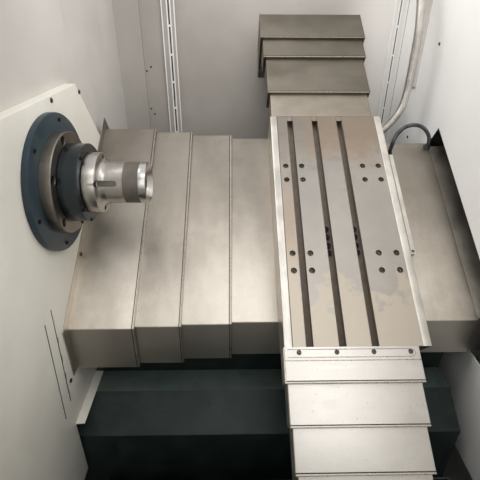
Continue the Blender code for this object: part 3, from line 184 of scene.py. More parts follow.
class Finish:
    """A surface finish under construction on one material."""

    def __init__(self, name, roughness=0.5, metallic=0.0, **constants):
        self.material = bpy.data.materials.new(name)
        self.material.use_nodes = True
        self.tree = self.material.node_tree
        self.shader = self.tree.nodes["Principled BSDF"]
        self.shader.inputs["Roughness"].default_value = roughness
        self.shader.inputs["Metallic"].default_value = metallic
        for socket, value in constants.items():
            self.shader.inputs[socket.replace("_", " ")].default_value = value

    def node(self, kind, settings, inputs, output=0):
        made = self.tree.nodes.new(kind)
        for setting, value in settings.items():
            setattr(made, setting, value)
        for socket, value in inputs.items():
            if isinstance(value, Reading):
                self.tree.links.new(value.socket, made.inputs[socket])
            else:
                made.inputs[socket].default_value = value
        return Reading(self, made.outputs[output])

    def dot(self, vector, axis):
        inputs = {0: vector, 1: axis}
        return self.node("ShaderNodeVectorMath", {"operation": "DOT_PRODUCT"}, inputs, "Value")

    def from_corner(self):
        """Where a point is, from the table's corner, as one vector on level axes."""
        here = self.node("ShaderNodeTexCoord", {}, {}, "Object")
        return self.node("ShaderNodeVectorMath", {"operation": "SUBTRACT"}, {0: here, 1: CORNER})

    def spot(self):
        """Where a point is, as three numbers: across, up the slant, square to it."""
        moved = self.from_corner()
        axes = ((1.0, 0.0, 0.0), (0.0, math.cos(SLANT), math.sin(SLANT)),
                (0.0, -math.sin(SLANT), math.cos(SLANT)))
        return [self.dot(moved, axis) for axis in axes]

    def level_spot(self):
        """Where a point is, as three numbers: across, towards the rear, up."""
        moved = self.from_corner()
        return [self.node("ShaderNodeSeparateXYZ", {}, {0: moved}, axis) for axis in "XYZ"]

    def join(self, first, second, third):
        return self.node("ShaderNodeCombineXYZ", {}, {0: first, 1: second, 2: third})

    def noise(self, place, scale, detail=3.0, rough=0.55):
        inputs = {"Vector": place, "Scale": scale, "Detail": detail, "Roughness": rough}
        return self.node("ShaderNodeTexNoise", {}, inputs, 0)

    def rise(self, value, low, high, start=0.0, end=1.0):
        """Smooth step from start to end while the value goes from low to high."""
        inputs = {"Value": value, "From Min": low, "From Max": high, "To Min": start, "To Max": end}
        return self.node("ShaderNodeMapRange", {"interpolation_type": "SMOOTHSTEP"}, inputs)

    def facing(self, direction, low, high):
        """How squarely the surface looks in a direction, from 0 at low to 1 at high."""
        normal = self.node("ShaderNodeNewGeometry", {}, {}, "Normal")
        return self.rise(self.dot(normal, direction), low, high)

    def mix(self, share, first, second):
        return self.node("ShaderNodeMix", {"data_type": "RGBA"}, {0: share, 6: first, 7: second}, 2)

    def bump(self, height, depth, strength):
        inputs = {"Height": height, "Distance": depth, "Strength": strength}
        return self.node("ShaderNodeBump", {}, inputs, "Normal")

    def feed(self, **sockets):
        """Ends the finish: what varies goes to its sockets of the shader."""
        for socket, value in sockets.items():
            self.tree.links.new(value.socket, self.shader.inputs[socket.replace("_", " ")])
        return self.material


def sleeve_finish(name, light, dark, roughness, metallic):
    finish = Finish(name, metallic=metallic, IOR=1.5)
    place = finish.from_corner()
    dust = finish.rise(finish.noise(place, 38.0, 4.0), 0.35, 0.68)
    fine = finish.noise(place, 700.0, 2.0)
    return finish.feed(Base_Color=finish.mix(dust, dark, light),
                       Roughness=roughness + dust * 0.12 + fine * 0.08,
                       Normal=finish.bump(fine, 0.0002, 0.5))


def finished_piece(name, bm, finish, body, replaced=()):
    """Turns a bmesh into a piece of the machine that rides on a body."""
    mesh = bpy.data.meshes.new(name)
    bm.to_mesh(mesh)
    bm.free()
    mesh.shade_smooth()
    mesh.set_sharp_from_angle(angle=math.radians(32.0))
    mesh.materials.append(finish)
    piece = bpy.data.objects.new(name, mesh)
    bpy.context.scene.collection.objects.link(piece)
    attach(piece, body)
    if replaced:
        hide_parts(*replaced)


def bridged(rings, closed=True):
    """Skin over rings of (corners, matrix), each a circle or polygon in the matrix's plane."""
    bm, loops = bmesh.new(), []
    for corners, matrix in rings:
        verts = bmesh.ops.create_circle(bm, segments=corners, radius=1.0, matrix=matrix)["verts"]
        loops.append(list({edge for vert in verts for edge in vert.link_edges}))
    for lower, upper in zip(loops, loops[1:]):
        bmesh.ops.bridge_loops(bm, edges=lower + upper)
    if closed:
        for loop in (loops[0], loops[-1]):
            bmesh.ops.contextual_create(bm, geom=loop)
    return bm


def stacked(rings, closed=True):
    """Round or many-sided shape along Z through rings of (corners, radius, height)."""
    return bridged([(corners, Matrix.Translation((0.0, 0.0, height)) @ Matrix.Scale(radius, 4))
                    for corners, radius, height in rings], closed)


def bead(bm, route, across, width, height, corners):
    """Strip with a rounded or square section along a route, mitred where the route turns."""
    across = Vector(across).normalized()
    points, rings = [Vector(p) for p in route], []
    flat = 1.0 / math.cos(math.pi / corners)
    for k, place in enumerate(points):
        before = (place - points[k - 1]).normalized() if k else (points[1] - place).normalized()
        after = (points[k + 1] - place).normalized() if k + 1 < len(points) else before
        heading = (before + after).normalized()
        lift = across.cross(heading) / max(0.35, heading.dot(after))
        section = Matrix((across * (width / 2.0), lift * (height / 2.0), heading)).transposed()
        rings.append((corners, Matrix.Translation(place) @ section.to_4x4()
                      @ Matrix.Rotation(math.pi / corners, 4, "Z") @ Matrix.Diagonal((flat, flat, 1.0, 1.0))))
    drawn = bridged(rings)
    bmesh.ops.recalc_face_normals(drawn, faces=drawn.faces)
    set_about(bm, drawn, (0.0, 0.0, 0.0), UP)
    drawn.free()


def folded(node, body, finish, radius=0.0025):
    """The solid sheet or casting with its bends rounded, standing in for the sharp one."""
    bm = bmesh.new()
    bm.from_mesh(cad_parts[node].data)
    bmesh.ops.remove_doubles(bm, verts=bm.verts, dist=0.00002)
    bmesh.ops.dissolve_limit(bm, angle_limit=math.radians(0.6), verts=bm.verts, edges=bm.edges)
    bm.normal_update()
    broad = {face for face in bm.faces if 2.0 * face.calc_area() > 0.004 * face.calc_perimeter()}
    bends = [edge for edge in bm.edges if edge.is_manifold and edge.is_convex
             and edge.calc_face_angle() > math.radians(25.0) and broad.issuperset(edge.link_faces)]
    bmesh.ops.bevel(bm, geom=bends, offset=radius, offset_type="OFFSET", segments=3, profile=0.5,
                    affect="EDGES", clamp_overlap=True, material=-1)
    finished_piece(f"{node}_folded", bm, finish, body, [node])


def set_about(bm, shape, place, direction, spin=0.0):
    """Adds a shape, made along Z, at a place and along a direction."""
    mesh = bpy.data.meshes.new("shape")
    shape.to_mesh(mesh)
    turn = Matrix.Identity(4)
    if tuple(direction) != UP:
        turn = Vector(direction).to_track_quat("Z", "Y").to_matrix().to_4x4()
    mesh.transform(Matrix.Translation(place) @ turn @ Matrix.Rotation(spin, 4, "Z"))
    bm.from_mesh(mesh)
    bpy.data.meshes.remove(mesh)


def smooth_route(points, spacing):
    """Even points on a smooth curve through the route."""
    nodes = [Vector(p) for p in points]
    ends = [nodes[0] * 2.0 - nodes[1]] + nodes + [nodes[-1] * 2.0 - nodes[-2]]
    fine = []
    for p0, p1, p2, p3 in zip(ends, ends[1:], ends[2:], ends[3:]):
        steps = max(1, round((p2 - p1).length / spacing))
        for k in range(steps):
            t = k / steps
            fine.append(0.5 * ((2.0 * p1) + (p2 - p0) * t
                               + (2.0 * p0 - 5.0 * p1 + 4.0 * p2 - p3) * t * t
                               + (3.0 * p1 - p0 - 3.0 * p2 + p3) * t * t * t))
    return fine + [nodes[-1]]


def conduit(name, route, radius, rib, groove, finish, body, node):
    """Ribbed sleeve: the curve's radius goes in and out along it, four points to a rib."""
    places = smooth_route([inside(*p) for p in route], rib / 4.0)
    curve = bpy.data.curves.new(name, "CURVE")
    curve.dimensions = "3D"
    curve.bevel_depth = radius
    curve.bevel_resolution = 3
    curve.use_fill_caps = True
    spline = curve.splines.new("POLY")
    spline.points.add(len(places) - 1)
    for k, (point, place) in enumerate(zip(spline.points, places)):
        point.co = (*place, 1.0)
        point.radius = 1.0 if k % 4 < 2 else groove
    spline.use_smooth = True
    curve.materials.append(finish)
    piece = bpy.data.objects.new(name, curve)
    bpy.context.scene.collection.objects.link(piece)
    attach(piece, body)
    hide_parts(node)
    return piece


grey_route = [(0.388, 0.9177, 0.790), (0.388, 0.8877, 0.790), (0.388, 0.740, 0.760),
              (0.388, 0.645, 0.680), (0.388, 0.600, 0.575), (0.391, 0.600, 0.490),
              (0.391, 0.600, 0.425), (0.389, 0.600, 0.379), (0.382, 0.600, 0.340),
              (0.363, 0.600, 0.306), (0.340, 0.598, 0.281), (0.315, 0.590, 0.262)]
grey_sleeve = sleeve_finish("grey_sleeve", paint(215, 211, 205), paint(196, 192, 185), 0.24, 0.95)
grey_conduit = conduit("ribbed_conduit", grey_route, 0.0112, 0.0032, 0.93, grey_sleeve, "base",
                       "grey_conduit")

black_route = [(0.322, 0.48703, 0.24068), (0.322, 0.48015, 0.25051), (0.3235, 0.474, 0.276),
               (0.333, 0.479, 0.299), (0.356, 0.490, 0.316), (0.385, 0.495, 0.321),
               (0.412, 0.497, 0.312), (0.431, 0.497, 0.290), (0.437, 0.49899, 0.26370),
               (0.437, 0.50587, 0.25387)]
black_sleeve = sleeve_finish("black_sleeve", paint(98, 99, 104), paint(62, 63, 68), 0.26, 0.7)
black_conduit = conduit("slim_conduit", black_route, 0.0055, 0.0022, 0.94, black_sleeve, "saddle",
                        "black_conduit")


def gland(name, foot, direction, bore, body):
    """Cable gland: a washer, a six-sided body and a domed nut with a bore."""
    shape = stacked([
        (32, bore * 1.02, 0.0), (32, bore * 1.75, 0.0), (32, bore * 1.75, 0.0015), (6, bore * 1.70, 0.0016),
        (6, bore * 1.70, bore * 0.9), (32, bore * 1.40, bore * 0.95), (32, bore * 1.38, bore * 1.5),
        (32, bore * 1.20, bore * 1.9), (32, bore * 1.02, bore * 1.95)], closed=False)
    bm = bmesh.new()
    set_about(bm, shape, foot, direction)
    shape.free()
    bmesh.ops.recalc_face_normals(bm, faces=bm.faces)
    finished_piece(name, bm, black_sleeve, body)


gland("wall_gland", inside(0.388, 0.9178, 0.790), FRONT, 0.0100, "base")
cover_up = (0.0, -math.sin(SLANT), math.cos(SLANT))
slope_up = (0.0, math.cos(SLANT), math.sin(SLANT))
gland("strip_gland", inside(0.322, 0.4872, 0.2405), cover_up, 0.0055, "saddle")
gland("cover_gland", inside(0.437, 0.5060, 0.2537), cover_up, 0.0055, "saddle")


# Enamelled castings. The base and the headstock are cast iron under dark green machine enamel,
# thick and slightly wavy, rubbed thin and greyish where chips and hands pass over it. The tray
# for the chips wears the same enamel.

def enamel(name, body_color, worn_color, roughness, lit_top_color=None):
    finish = Finish(name, Coat_Roughness=0.3, Specular_IOR_Level=0.28)
    place = finish.from_corner()
    wave = finish.noise(place, 46.0, 3.0)
    orange_peel = finish.noise(place, 420.0, 2.0)
    rubbed = finish.rise(finish.noise(place, 7.0, 6.0, 0.65), 0.50, 0.74)
    dust = finish.rise(finish.noise(place, 21.0, 5.0), 0.42, 0.72, 0.0, 0.35)
    # Faces that look upwards take a lighter colour: painted light.
    if lit_top_color:
        body_color = finish.mix(finish.facing(UP, 0.88, 0.97), body_color, lit_top_color)
    color = finish.mix(dust, finish.mix(rubbed * 0.35, body_color, worn_color), paint(70, 78, 76))
    return finish.feed(Base_Color=color, Roughness=roughness + rubbed * 0.16 + dust * 0.3,
                       Normal=finish.bump(wave * 0.8 + orange_peel * 0.2, 0.0012, 0.45),
                       Coat_Weight=0.10 - dust * 0.2)


def dress(finish, *nodes):
    for node in nodes:
        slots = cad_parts[node].data.materials
        slots.clear()
        slots.append(finish)


# The last colour is the painted light on the upward faces of the green castings.
green_enamel = enamel("green_enamel", paint(28, 41, 40), paint(42, 56, 54), 0.42, paint(94, 108, 103))
dress(green_enamel, "base_casting", "headstock", "chip_tray")


# Machined iron and ground steel. The saddle and the belt pulleys are milled, with fine cutter
# marks and a film of oil. Rails, carriages, screws and shaft are ground brighter.

def machined(name, light, dark, roughness=0.38):
    finish = Finish(name, metallic=0.85)
    x, s, n = finish.spot()
    cloud = finish.rise(finish.noise(finish.join(x, s, n), 18.0, 4.0), 0.3, 0.7)
    cutter = finish.noise(finish.join(x * 40.0, s * 900.0, n * 900.0), 1.0, 2.0)
    return finish.feed(Base_Color=finish.mix(cloud, dark, light),
                       Roughness=roughness + cloud * 0.1 + cutter * 0.12,
                       Normal=finish.bump(cutter, 0.0001, 0.4))


machined_iron = machined("machined_iron", paint(176, 175, 172), paint(138, 137, 134))
guide_steel = machined("guide_steel", paint(206, 202, 196), paint(176, 171, 164), 0.24)
dress(machined_iron, "saddle", "spindle_pulley", "motor_pulley")
dress(guide_steel, "z_rail_lower", "z_rail_upper", "z_carriage_lower", "z_carriage_upper", "z_screw",
      "x_rail_left", "x_rail_right", "x_carriage_left_front", "x_carriage_left_rear",
      "x_carriage_right_front", "x_carriage_right_rear", "x_screw", "spindle_shaft", "door_rail")

belt = Finish("belt_rubber", 0.7)
belt_place = belt.from_corner()
belt_dust = belt.noise(belt_place, 60.0, 3.0)
belt_rubber = belt.feed(Base_Color=belt.mix(belt_dust, paint(30, 30, 30), paint(58, 56, 54)),
                        Normal=belt.bump(belt.noise(belt_place, 900.0), 0.0003, 0.5))
dress(belt_rubber, "drive_belt")

motor_enamel = enamel("motor_enamel", paint(46, 48, 52), paint(80, 82, 86), 0.42)
dress(motor_enamel, "spindle_motor", "z_motor", "x_motor")


# Spindle nose. A dark enamelled ring closes the headstock, a turned cap holds the bearings with
# six screws, and the black flange and the collet chuck turn in front of them.

AXIS_BACK, AXIS_UP = 0.182, 0.2835
AXIS = inside(0.0, AXIS_BACK, AXIS_UP)
ALONG = (1.0, 0.0, 0.0)


def turned(profile, steps):
    """Closed section of (place along the spindle, radius), spun about the spindle line."""
    bm = bmesh.new()
    verts = [bm.verts.new((CORNER.x + x, AXIS.y, AXIS.z + radius)) for x, radius in profile]
    edges = [bm.edges.new(pair) for pair in zip(verts, verts[1:] + verts[:1])]
    bmesh.ops.spin(bm, geom=verts + edges, cent=AXIS, axis=(1.0, 0.0, 0.0), angle=2.0 * math.pi,
                   steps=steps, use_merge=True, use_duplicate=False)
    bmesh.ops.remove_doubles(bm, verts=bm.verts, dist=0.00002)
    bmesh.ops.recalc_face_normals(bm, faces=bm.faces)
    return bm


def carve(bm, tool):
    """Cuts a tool's shape out of another."""
    pair = []
    for shape in (bm, tool):
        mesh = bpy.data.meshes.new("draft")
        bmesh.ops.recalc_face_normals(shape, faces=shape.faces)
        shape.to_mesh(mesh)
        shape.free()
        draft = bpy.data.objects.new("draft", mesh)
        bpy.context.scene.collection.objects.link(draft)
        pair.append(draft)
    boolean = pair[0].modifiers.new("carve", "BOOLEAN")
    boolean.operation, boolean.solver, boolean.object = "DIFFERENCE", "EXACT", pair[1]
    bpy.context.view_layer.update()
    result = bmesh.new()
    result.from_object(pair[0], bpy.context.evaluated_depsgraph_get())
    for draft in pair:
        bpy.data.objects.remove(draft, do_unlink=True)
    return result


def around(radius, turn, x):
    """Place on a circle about the spindle line. The turn starts at the operator's side."""
    return AXIS + Vector((x, -radius * math.cos(turn), radius * math.sin(turn)))


def barrel(bm, place, direction, rings):
    """Adds a round or many-sided shape through rings of (corners, radius, height)."""
    shape = stacked(rings)
    bmesh.ops.recalc_face_normals(shape, faces=shape.faces)
    set_about(bm, shape, place, direction)
    shape.free()


def counterbored(bm, circle, turns, floor, radius, straight, mouth):
    """Cuts the seats of a ring of screws: flat floor, straight wall, chamfered mouth."""
    wide = radius + 0.0010
    for turn in turns:
        tool = bmesh.new()
        barrel(tool, around(circle, turn, floor), ALONG,
               [(32, radius, 0.0), (32, radius, straight), (32, wide, mouth), (32, wide, mouth + 0.03)])
        bm = carve(bm, tool)
    return bm


def spindle_spot(finish):
    """Distance from the spindle line, place along it, and turn about it."""
    x, y, z = finish.level_spot()
    dy, dz = y - AXIS_BACK, z - AXIS_UP
    squares = dy * dy + dz * dz
    return finish.node("ShaderNodeMath", {"operation": "SQRT"}, {0: squares}), x, dy, dz


def turned_finish(name, light, dark, roughness, groove, metallic=1.0, streak=0.10):
    """Lathe-turned metal: fine rings about the spindle line, smudges and a film of oil."""
    finish = Finish(name, metallic=metallic)
    radius, x, dy, dz = spindle_spot(finish)
    rings = finish.noise(finish.join(x, radius, 0.0), 2600.0, 2.0)
    smudge = finish.rise(finish.noise(finish.join(x, dy, dz), 26.0, 5.0, 0.6), 0.34, 0.68)
    return finish.feed(Base_Color=finish.mix(smudge * 0.5 + rings * 0.5, dark, light),
                       Roughness=roughness + rings * streak + (1.0 - smudge) * 0.04,
                       Normal=finish.bump(rings, groove, 0.6))


ring_enamel = enamel("ring_enamel", paint(44, 58, 66), paint(76, 88, 94), 0.30)
RING_FACE, PLATE_FACE, SPIGOT_BACK = -0.4730, -0.4847, -0.5147
RING_RADIUS, SPIGOT_RADIUS, RING_BORE = 0.1422, 0.098, 0.065
nose_ring = turned([(RING_FACE, RING_RADIUS - 0.0030), (RING_FACE - 0.0012, RING_RADIUS - 0.0006),
                    (RING_FACE - 0.0035, RING_RADIUS), (PLATE_FACE, RING_RADIUS),
                    (PLATE_FACE, SPIGOT_RADIUS), (SPIGOT_BACK, SPIGOT_RADIUS),
                    (SPIGOT_BACK, RING_BORE), (RING_FACE, RING_BORE)], 128)
finished_piece("nose_ring_enamelled", nose_ring, ring_enamel, "base", ["nose_ring"])

CAP_FACE, CAP_BACK, CAP_RADIUS, CAP_BORE = -0.4520, RING_FACE + 0.0003, 0.1045, 0.0560
CAP_CIRCLE, CAP_TURNS = 0.0922, [math.radians(25.0 + 60.0 * k) for k in range(6)]
cap_metal = turned_finish("cap_metal", paint(150, 143, 134), paint(120, 114, 106), 0.32, 0.00005)
cap = turned([(CAP_FACE, CAP_BORE), (CAP_FACE, CAP_RADIUS - 0.0019),
              (CAP_FACE - 0.0018, CAP_RADIUS - 0.0002), (CAP_FACE - 0.0040, CAP_RADIUS),
              (CAP_BACK, CAP_RADIUS), (CAP_BACK, CAP_BORE)], 128)
cap = counterbored(cap, CAP_CIRCLE, CAP_TURNS, CAP_FACE - 0.0105, 0.0088, 0.0098, 0.0110)
finished_piece("bearing_cap_turned", cap, cap_metal, "base", ["bearing_cap"])


def small_metal(name, dark, light, roughness=0.28, metallic=1.0):
    """Screws and small fittings: plated or blackened steel with a broken film of oil."""
    finish = Finish(name, metallic=metallic)
    place = finish.from_corner()
    oil = finish.rise(finish.noise(place, 240.0, 3.0), 0.35, 0.65)
    return finish.feed(Base_Color=finish.mix(oil, dark, light), Roughness=roughness + oil * 0.2)


screw_steel = small_metal("screw_steel", paint(58, 56, 54), paint(118, 114, 108))
screw_bright = small_metal("screw_bright", paint(196, 190, 181), paint(222, 217, 208), 0.22)
dark_screw = small_metal("dark_screw", paint(26, 25, 25), paint(62, 60, 58), 0.36, 0.9)


def socket_screw(radius, height, key, depth, chamfer=0.0006):
    """Head of a socket screw, made along Z, with a six-sided socket."""
    return stacked([(28, radius, 0.0), (28, radius, height - chamfer), (28, radius - chamfer, height),
                    (28, key * 1.12, height), (6, key, height - 0.0003), (6, key, height - depth)])


def screws(name, places, direction, head, finish, body):
    """A set of screw heads in one piece, each socket turned a little further than the last."""
    bm = bmesh.new()
    for number, place in enumerate(places):
        set_about(bm, head, place, direction, 0.7 * number)
    head.free()
    bmesh.ops.recalc_face_normals(bm, faces=bm.faces)
    finished_piece(name, bm, finish, body)


screws("cap_screws", [around(CAP_CIRCLE, turn, CAP_FACE - 0.0103) for turn in CAP_TURNS], ALONG,
       socket_screw(0.0076, 0.0058, 0.0040, 0.0040), dark_screw, "base")
ring_turns = [math.radians(49.0 + 60.0 * k) for k in range(6)]
screws("ring_screws", [around(0.1280, turn, RING_FACE - 0.0002) for turn in ring_turns], ALONG,
       socket_screw(0.0042, 0.0022, 0.0019, 0.0016), dark_screw, "base")

black_steel = turned_finish("black_steel", paint(60, 66, 70), paint(52, 58, 62), 0.20, 0.00005, 0.75, 0.04)
ADAPTER_BACK, ADAPTER_FACE, ADAPTER_RADIUS, ADAPTER_BORE = -0.4515, -0.4142, 0.0803, 0.031
adapter = turned([(ADAPTER_FACE, ADAPTER_BORE), (ADAPTER_FACE, ADAPTER_RADIUS - 0.0018),
                  (ADAPTER_FACE - 0.0016, ADAPTER_RADIUS), (ADAPTER_BACK + 0.0012, ADAPTER_RADIUS),
                  (ADAPTER_BACK, ADAPTER_RADIUS - 0.0013), (ADAPTER_BACK, ADAPTER_BORE)], 112)
tool, notch = bmesh.new(), bmesh.new()
bmesh.ops.create_cube(notch, size=1.0, matrix=Matrix.Diagonal((0.014, 0.012, 0.010, 1.0)))
set_about(tool, notch, around(ADAPTER_RADIUS - 0.0003, math.radians(-62.0), ADAPTER_FACE - 0.001), ALONG,
          math.radians(28.0))
notch.free()
adapter = carve(adapter, tool)
finished_piece("adapter_flange_turned", adapter, black_steel, "spindle", ["adapter_flange"])
adapter_turns = [math.radians(64.0 + 90.0 * k) for k in range(4)]
screws("adapter_screws", [around(0.0712, turn, ADAPTER_FACE - 0.0003) for turn in adapter_turns], ALONG,
       socket_screw(0.0046, 0.0030, 0.0021, 0.0020), dark_screw, "spindle")

# Chuck body: one ground piece with four counterbored bolts in its flange and two keyways,
# bright all over apart from a matt blasted band near its nose and keyway floors in painted shade.
DISC_BACK, DISC_FACE, BAND_EDGE, TUBE_END = -0.4139, -0.3879, -0.3400, -0.3095
DISC_RADIUS, TUBE_RADIUS, CHUCK_BORE, FILLET = 0.0622, 0.0425, 0.0355, 0.014
steel = Finish("chuck_steel", metallic=1.0)
radius, x, dy, dz = spindle_spot(steel)
rings = steel.noise(steel.join(x, radius, 0.0), 2400.0, 2.0)
coarse = steel.noise(steel.join(x, radius, 0.0), 420.0, 2.0)
smudge = steel.rise(steel.noise(steel.join(x, dy, dz), 30.0, 4.0), 0.30, 0.70)
band = steel.rise(x, BAND_EDGE - 0.0005, BAND_EDGE + 0.0005) * (radius > TUBE_RADIUS - 0.0020)
band_tone = steel.mix(smudge, paint(104, 98, 92), paint(122, 115, 108))
# The keyway floors take a darker grey: painted shade in the recess.
keyway = (radius < TUBE_RADIUS - 0.0013) * (x < BAND_EDGE - 0.0050)
ground_tone = steel.mix(smudge * 0.25 + coarse * 0.75, paint(168, 163, 157), paint(206, 201, 195))
ground_tone = steel.mix(keyway * 0.8, ground_tone, paint(98, 93, 88))
chuck_steel = steel.feed(
    Base_Color=steel.mix(band, ground_tone, band_tone), Metallic=1.0 - band * 0.5,
    Roughness=0.25 + band * 0.40 + rings * 0.06 + keyway * 0.2,
    Normal=steel.bump(rings * (1.0 - band), 0.00006, 0.8))
fillet = [(DISC_FACE + FILLET * (1.0 - math.sin(turn)), TUBE_RADIUS + FILLET * (1.0 - math.cos(turn)))
          for turn in [math.radians(11.25 * k) for k in range(9)]]
tube = [(TUBE_END, CHUCK_BORE), (TUBE_END, TUBE_RADIUS - 0.0007), (TUBE_END - 0.0007, TUBE_RADIUS),
        (BAND_EDGE, TUBE_RADIUS), (BAND_EDGE - 0.0002, TUBE_RADIUS - 0.0003),
        (BAND_EDGE - 0.0008, TUBE_RADIUS - 0.0003), (BAND_EDGE - 0.0010, TUBE_RADIUS)]
disc = [(DISC_FACE, DISC_RADIUS - 0.0016), (DISC_FACE - 0.0006, DISC_RADIUS - 0.0006),
        (DISC_FACE - 0.0016, DISC_RADIUS), (DISC_BACK + 0.0014, DISC_RADIUS),
        (DISC_BACK, DISC_RADIUS - 0.0014), (DISC_BACK, CHUCK_BORE)]
chuck = turned(tube + fillet + disc, 112)
CHUCK_CIRCLE, CHUCK_TURNS = 0.0508, [math.radians(19.0 + 90.0 * k) for k in range(4)]
chuck = counterbored(chuck, CHUCK_CIRCLE, CHUCK_TURNS, DISC_FACE - 0.0100, 0.0068, 0.0096, 0.0106)

# Each keyway is cut twice with a rounded tool: wide and shallow for its chamfer, then to depth.
KEYWAY_START, KEYWAY_END, KEYWAY_HALF = DISC_FACE + 0.0050, -0.3568, 0.0061
for turn in (CHUCK_TURNS[0], CHUCK_TURNS[2]):
    lie = Matrix.Translation(AXIS + Vector((KEYWAY_START, 0.0, 0.0)))
    lie = lie @ Matrix.Rotation(math.pi / 2.0 - turn, 4, "X")
    for half, floor in ((KEYWAY_HALF + 0.0010, TUBE_RADIUS - 0.0007), (KEYWAY_HALF, TUBE_RADIUS - 0.0040)):
        tool = stacked([(28, half, floor), (28, half, 0.0800)])
        ahead = [vert for vert in tool.verts if vert.co.x > 0.0001]
        bmesh.ops.translate(tool, vec=(KEYWAY_END - KEYWAY_START, 0.0, 0.0), verts=ahead)
        bmesh.ops.transform(tool, matrix=lie, verts=tool.verts)
        chuck = carve(chuck, tool)
finished_piece("chuck_body_ground", chuck, chuck_steel, "spindle", ["chuck_body"])
screws("chuck_screws", [around(CHUCK_CIRCLE, turn, DISC_FACE - 0.0098) for turn in CHUCK_TURNS], ALONG,
       socket_screw(0.0058, 0.0058, 0.0030, 0.0035), dark_screw, "spindle")

polished = turned_finish("polished_steel", paint(208, 205, 201), paint(190, 186, 180), 0.19, 0.00002, 1.0,
                         0.05)
COLLET_BACK, COLLET_NECK, COLLET_FACE = DISC_BACK + 0.012, TUBE_END + 0.0003, TUBE_END + 0.0153
COLLET_SLEEVE, COLLET_BORE = 0.0350, 0.0300
collet = turned([(COLLET_FACE, TUBE_RADIUS - 0.0040), (COLLET_FACE, TUBE_RADIUS - 0.0020),
                 (COLLET_FACE - 0.0010, TUBE_RADIUS - 0.0005), (COLLET_FACE - 0.0024, TUBE_RADIUS),
                 (COLLET_NECK, TUBE_RADIUS), (COLLET_NECK, COLLET_SLEEVE), (COLLET_BACK, COLLET_SLEEVE),
                 (COLLET_BACK, COLLET_BORE), (COLLET_FACE - 0.012, COLLET_BORE),
                 (COLLET_FACE - 0.0015, TUBE_RADIUS - 0.0055)], 112)
finished_piece("collet_polished", collet, polished, "collet", ["collet"])


# Table of the cross slide: ground steel with three T-slots, stained tan by coolant at both ends.
# Sixteen counterbored screws hold it on its carriages, and short screws sit in two of the slots.

ground = Finish("ground_table", metallic=1.0)
x, s, n = ground.spot()
place = ground.join(x, s, n)
cloud = ground.noise(place, 11.0, 4.0, 0.6)
ragged = ground.noise(place, 34.0, 5.0, 0.6)
edge = (cloud - 0.5) * 0.30 + (ragged - 0.5) * 0.10
fine = ground.noise(ground.join(x * 900.0, s * 14.0, n * 900.0), 1.0, 2.0)
scratch = ground.rise(ground.noise(ground.join(x * 160.0, s * 9.0, n), 1.0, 4.0, 0.7), 0.66, 0.72)
upper_stain = ground.rise(s + edge, 0.430, 0.520) * ground.rise(x, 0.020, 0.110) * 0.75
lower_stain = ground.rise(s + edge * 1.6, 0.130, 0.080) * 0.72
left_stain = ground.rise(x + edge * 0.08, 0.027, 0.023) * ground.rise(s + edge, 0.50, 0.20, 0.22, 0.70)
right_stain = ground.rise(x - s * 0.30 + edge * 0.5, 0.205, 0.245) * ground.rise(s, 0.36, 0.16) * 0.7
blue = ground.rise(ground.noise(place, 20.0, 3.0), 0.50, 0.66) * ground.rise(s + edge, 0.36, 0.42)
stain = upper_stain.greater(lower_stain).greater(left_stain).greater(right_stain)
stain_tone = ground.mix(ground.rise(s, 0.10, 0.30), paint(206, 193, 174), paint(169, 142, 114))
steel_tone = ground.mix(cloud, paint(154, 148, 141), paint(174, 168, 161))
steel_tone = ground.mix(blue * 0.45, steel_tone, paint(135, 138, 138))
top_tone = ground.mix(stain * 0.72, steel_tone, stain_tone)
# Darker towards the rear end of the table: painted shade.
top_tone = ground.mix(ground.rise(s + edge * 0.5, 0.40, 0.56) * 0.42, top_tone, paint(114, 107, 98))
# Inside the slots the steel turns a darker, duller brown: painted shade of the recess.
in_slot = ground.rise(n, -0.0007, -0.0024)
slot_tone = ground.mix(ground.noise(place, 70.0, 4.0), paint(106, 95, 83), paint(138, 127, 114))
ground_table = ground.feed(
    Base_Color=ground.mix(in_slot, top_tone, slot_tone), Metallic=1.0 - in_slot * 0.75,
    Roughness=0.34 + stain * 0.14 + fine * 0.10 + in_slot * 0.2 - scratch * 0.08,
    Normal=ground.bump(fine + scratch * 0.6, 0.00004, 0.6))
dress(ground_table, "table")

TABLE_WIDTH, TABLE_LENGTH, RIM = 0.265, 0.603, 0.0004
SLOTS, SLOT_HALF, SLOT_FLOOR, SCREW_FLOOR = (0.034, 0.101, 0.1675), 0.008, -0.0259, -0.0088
carriage_places = [sloped(x + dx, s + ds, SCREW_FLOOR) for x in (0.0337, 0.2293) for s in (0.182, 0.419)
                   for dx in (-0.02015, 0.02015) for ds in (-0.0205, 0.0205)]
screws("carriage_screws", carriage_places, cover_up, socket_screw(0.0056, 0.0040, 0.0030, 0.0034, 0.0009),
       screw_steel, "slide")
slot_places = [sloped(x, s, SLOT_FLOOR) for x in SLOTS[1:] for s in (0.272, 0.252, 0.230, 0.212)]
screws("slot_screws", slot_places, cover_up, socket_screw(0.0070, 0.0060, 0.0035, 0.0030),
       dark_screw, "slide")

ridges, ridge_top, far_end = bmesh.new(), -0.0003, TABLE_LENGTH - RIM
for x in [slot + side for slot in SLOTS for side in (-SLOT_HALF, SLOT_HALF)]:
    bead(ridges, [sloped(x, RIM, ridge_top), sloped(x, far_end, ridge_top)], ALONG, 0.0011, 0.0012, 6)
land_starts = [RIM] + [slot + SLOT_HALF + 0.0002 for slot in SLOTS]
land_ends = [slot - SLOT_HALF - 0.0002 for slot in SLOTS] + [TABLE_WIDTH - RIM]
for s in (RIM, far_end):
    for start, end in zip(land_starts, land_ends):
        bead(ridges, [sloped(start, s, ridge_top), sloped(end, s, ridge_top)], slope_up, 0.0011, 0.0012, 6)
finished_piece("slot_edges", ridges, ground_table, "slide")
stops = bmesh.new()
for x in SLOTS:
    bead(stops, [sloped(x, 0.588, -0.0030), sloped(x, far_end, -0.0030)], ALONG, 0.0154, 0.0020, 4)
finished_piece("slot_stops", stops, ground_table, "slide")

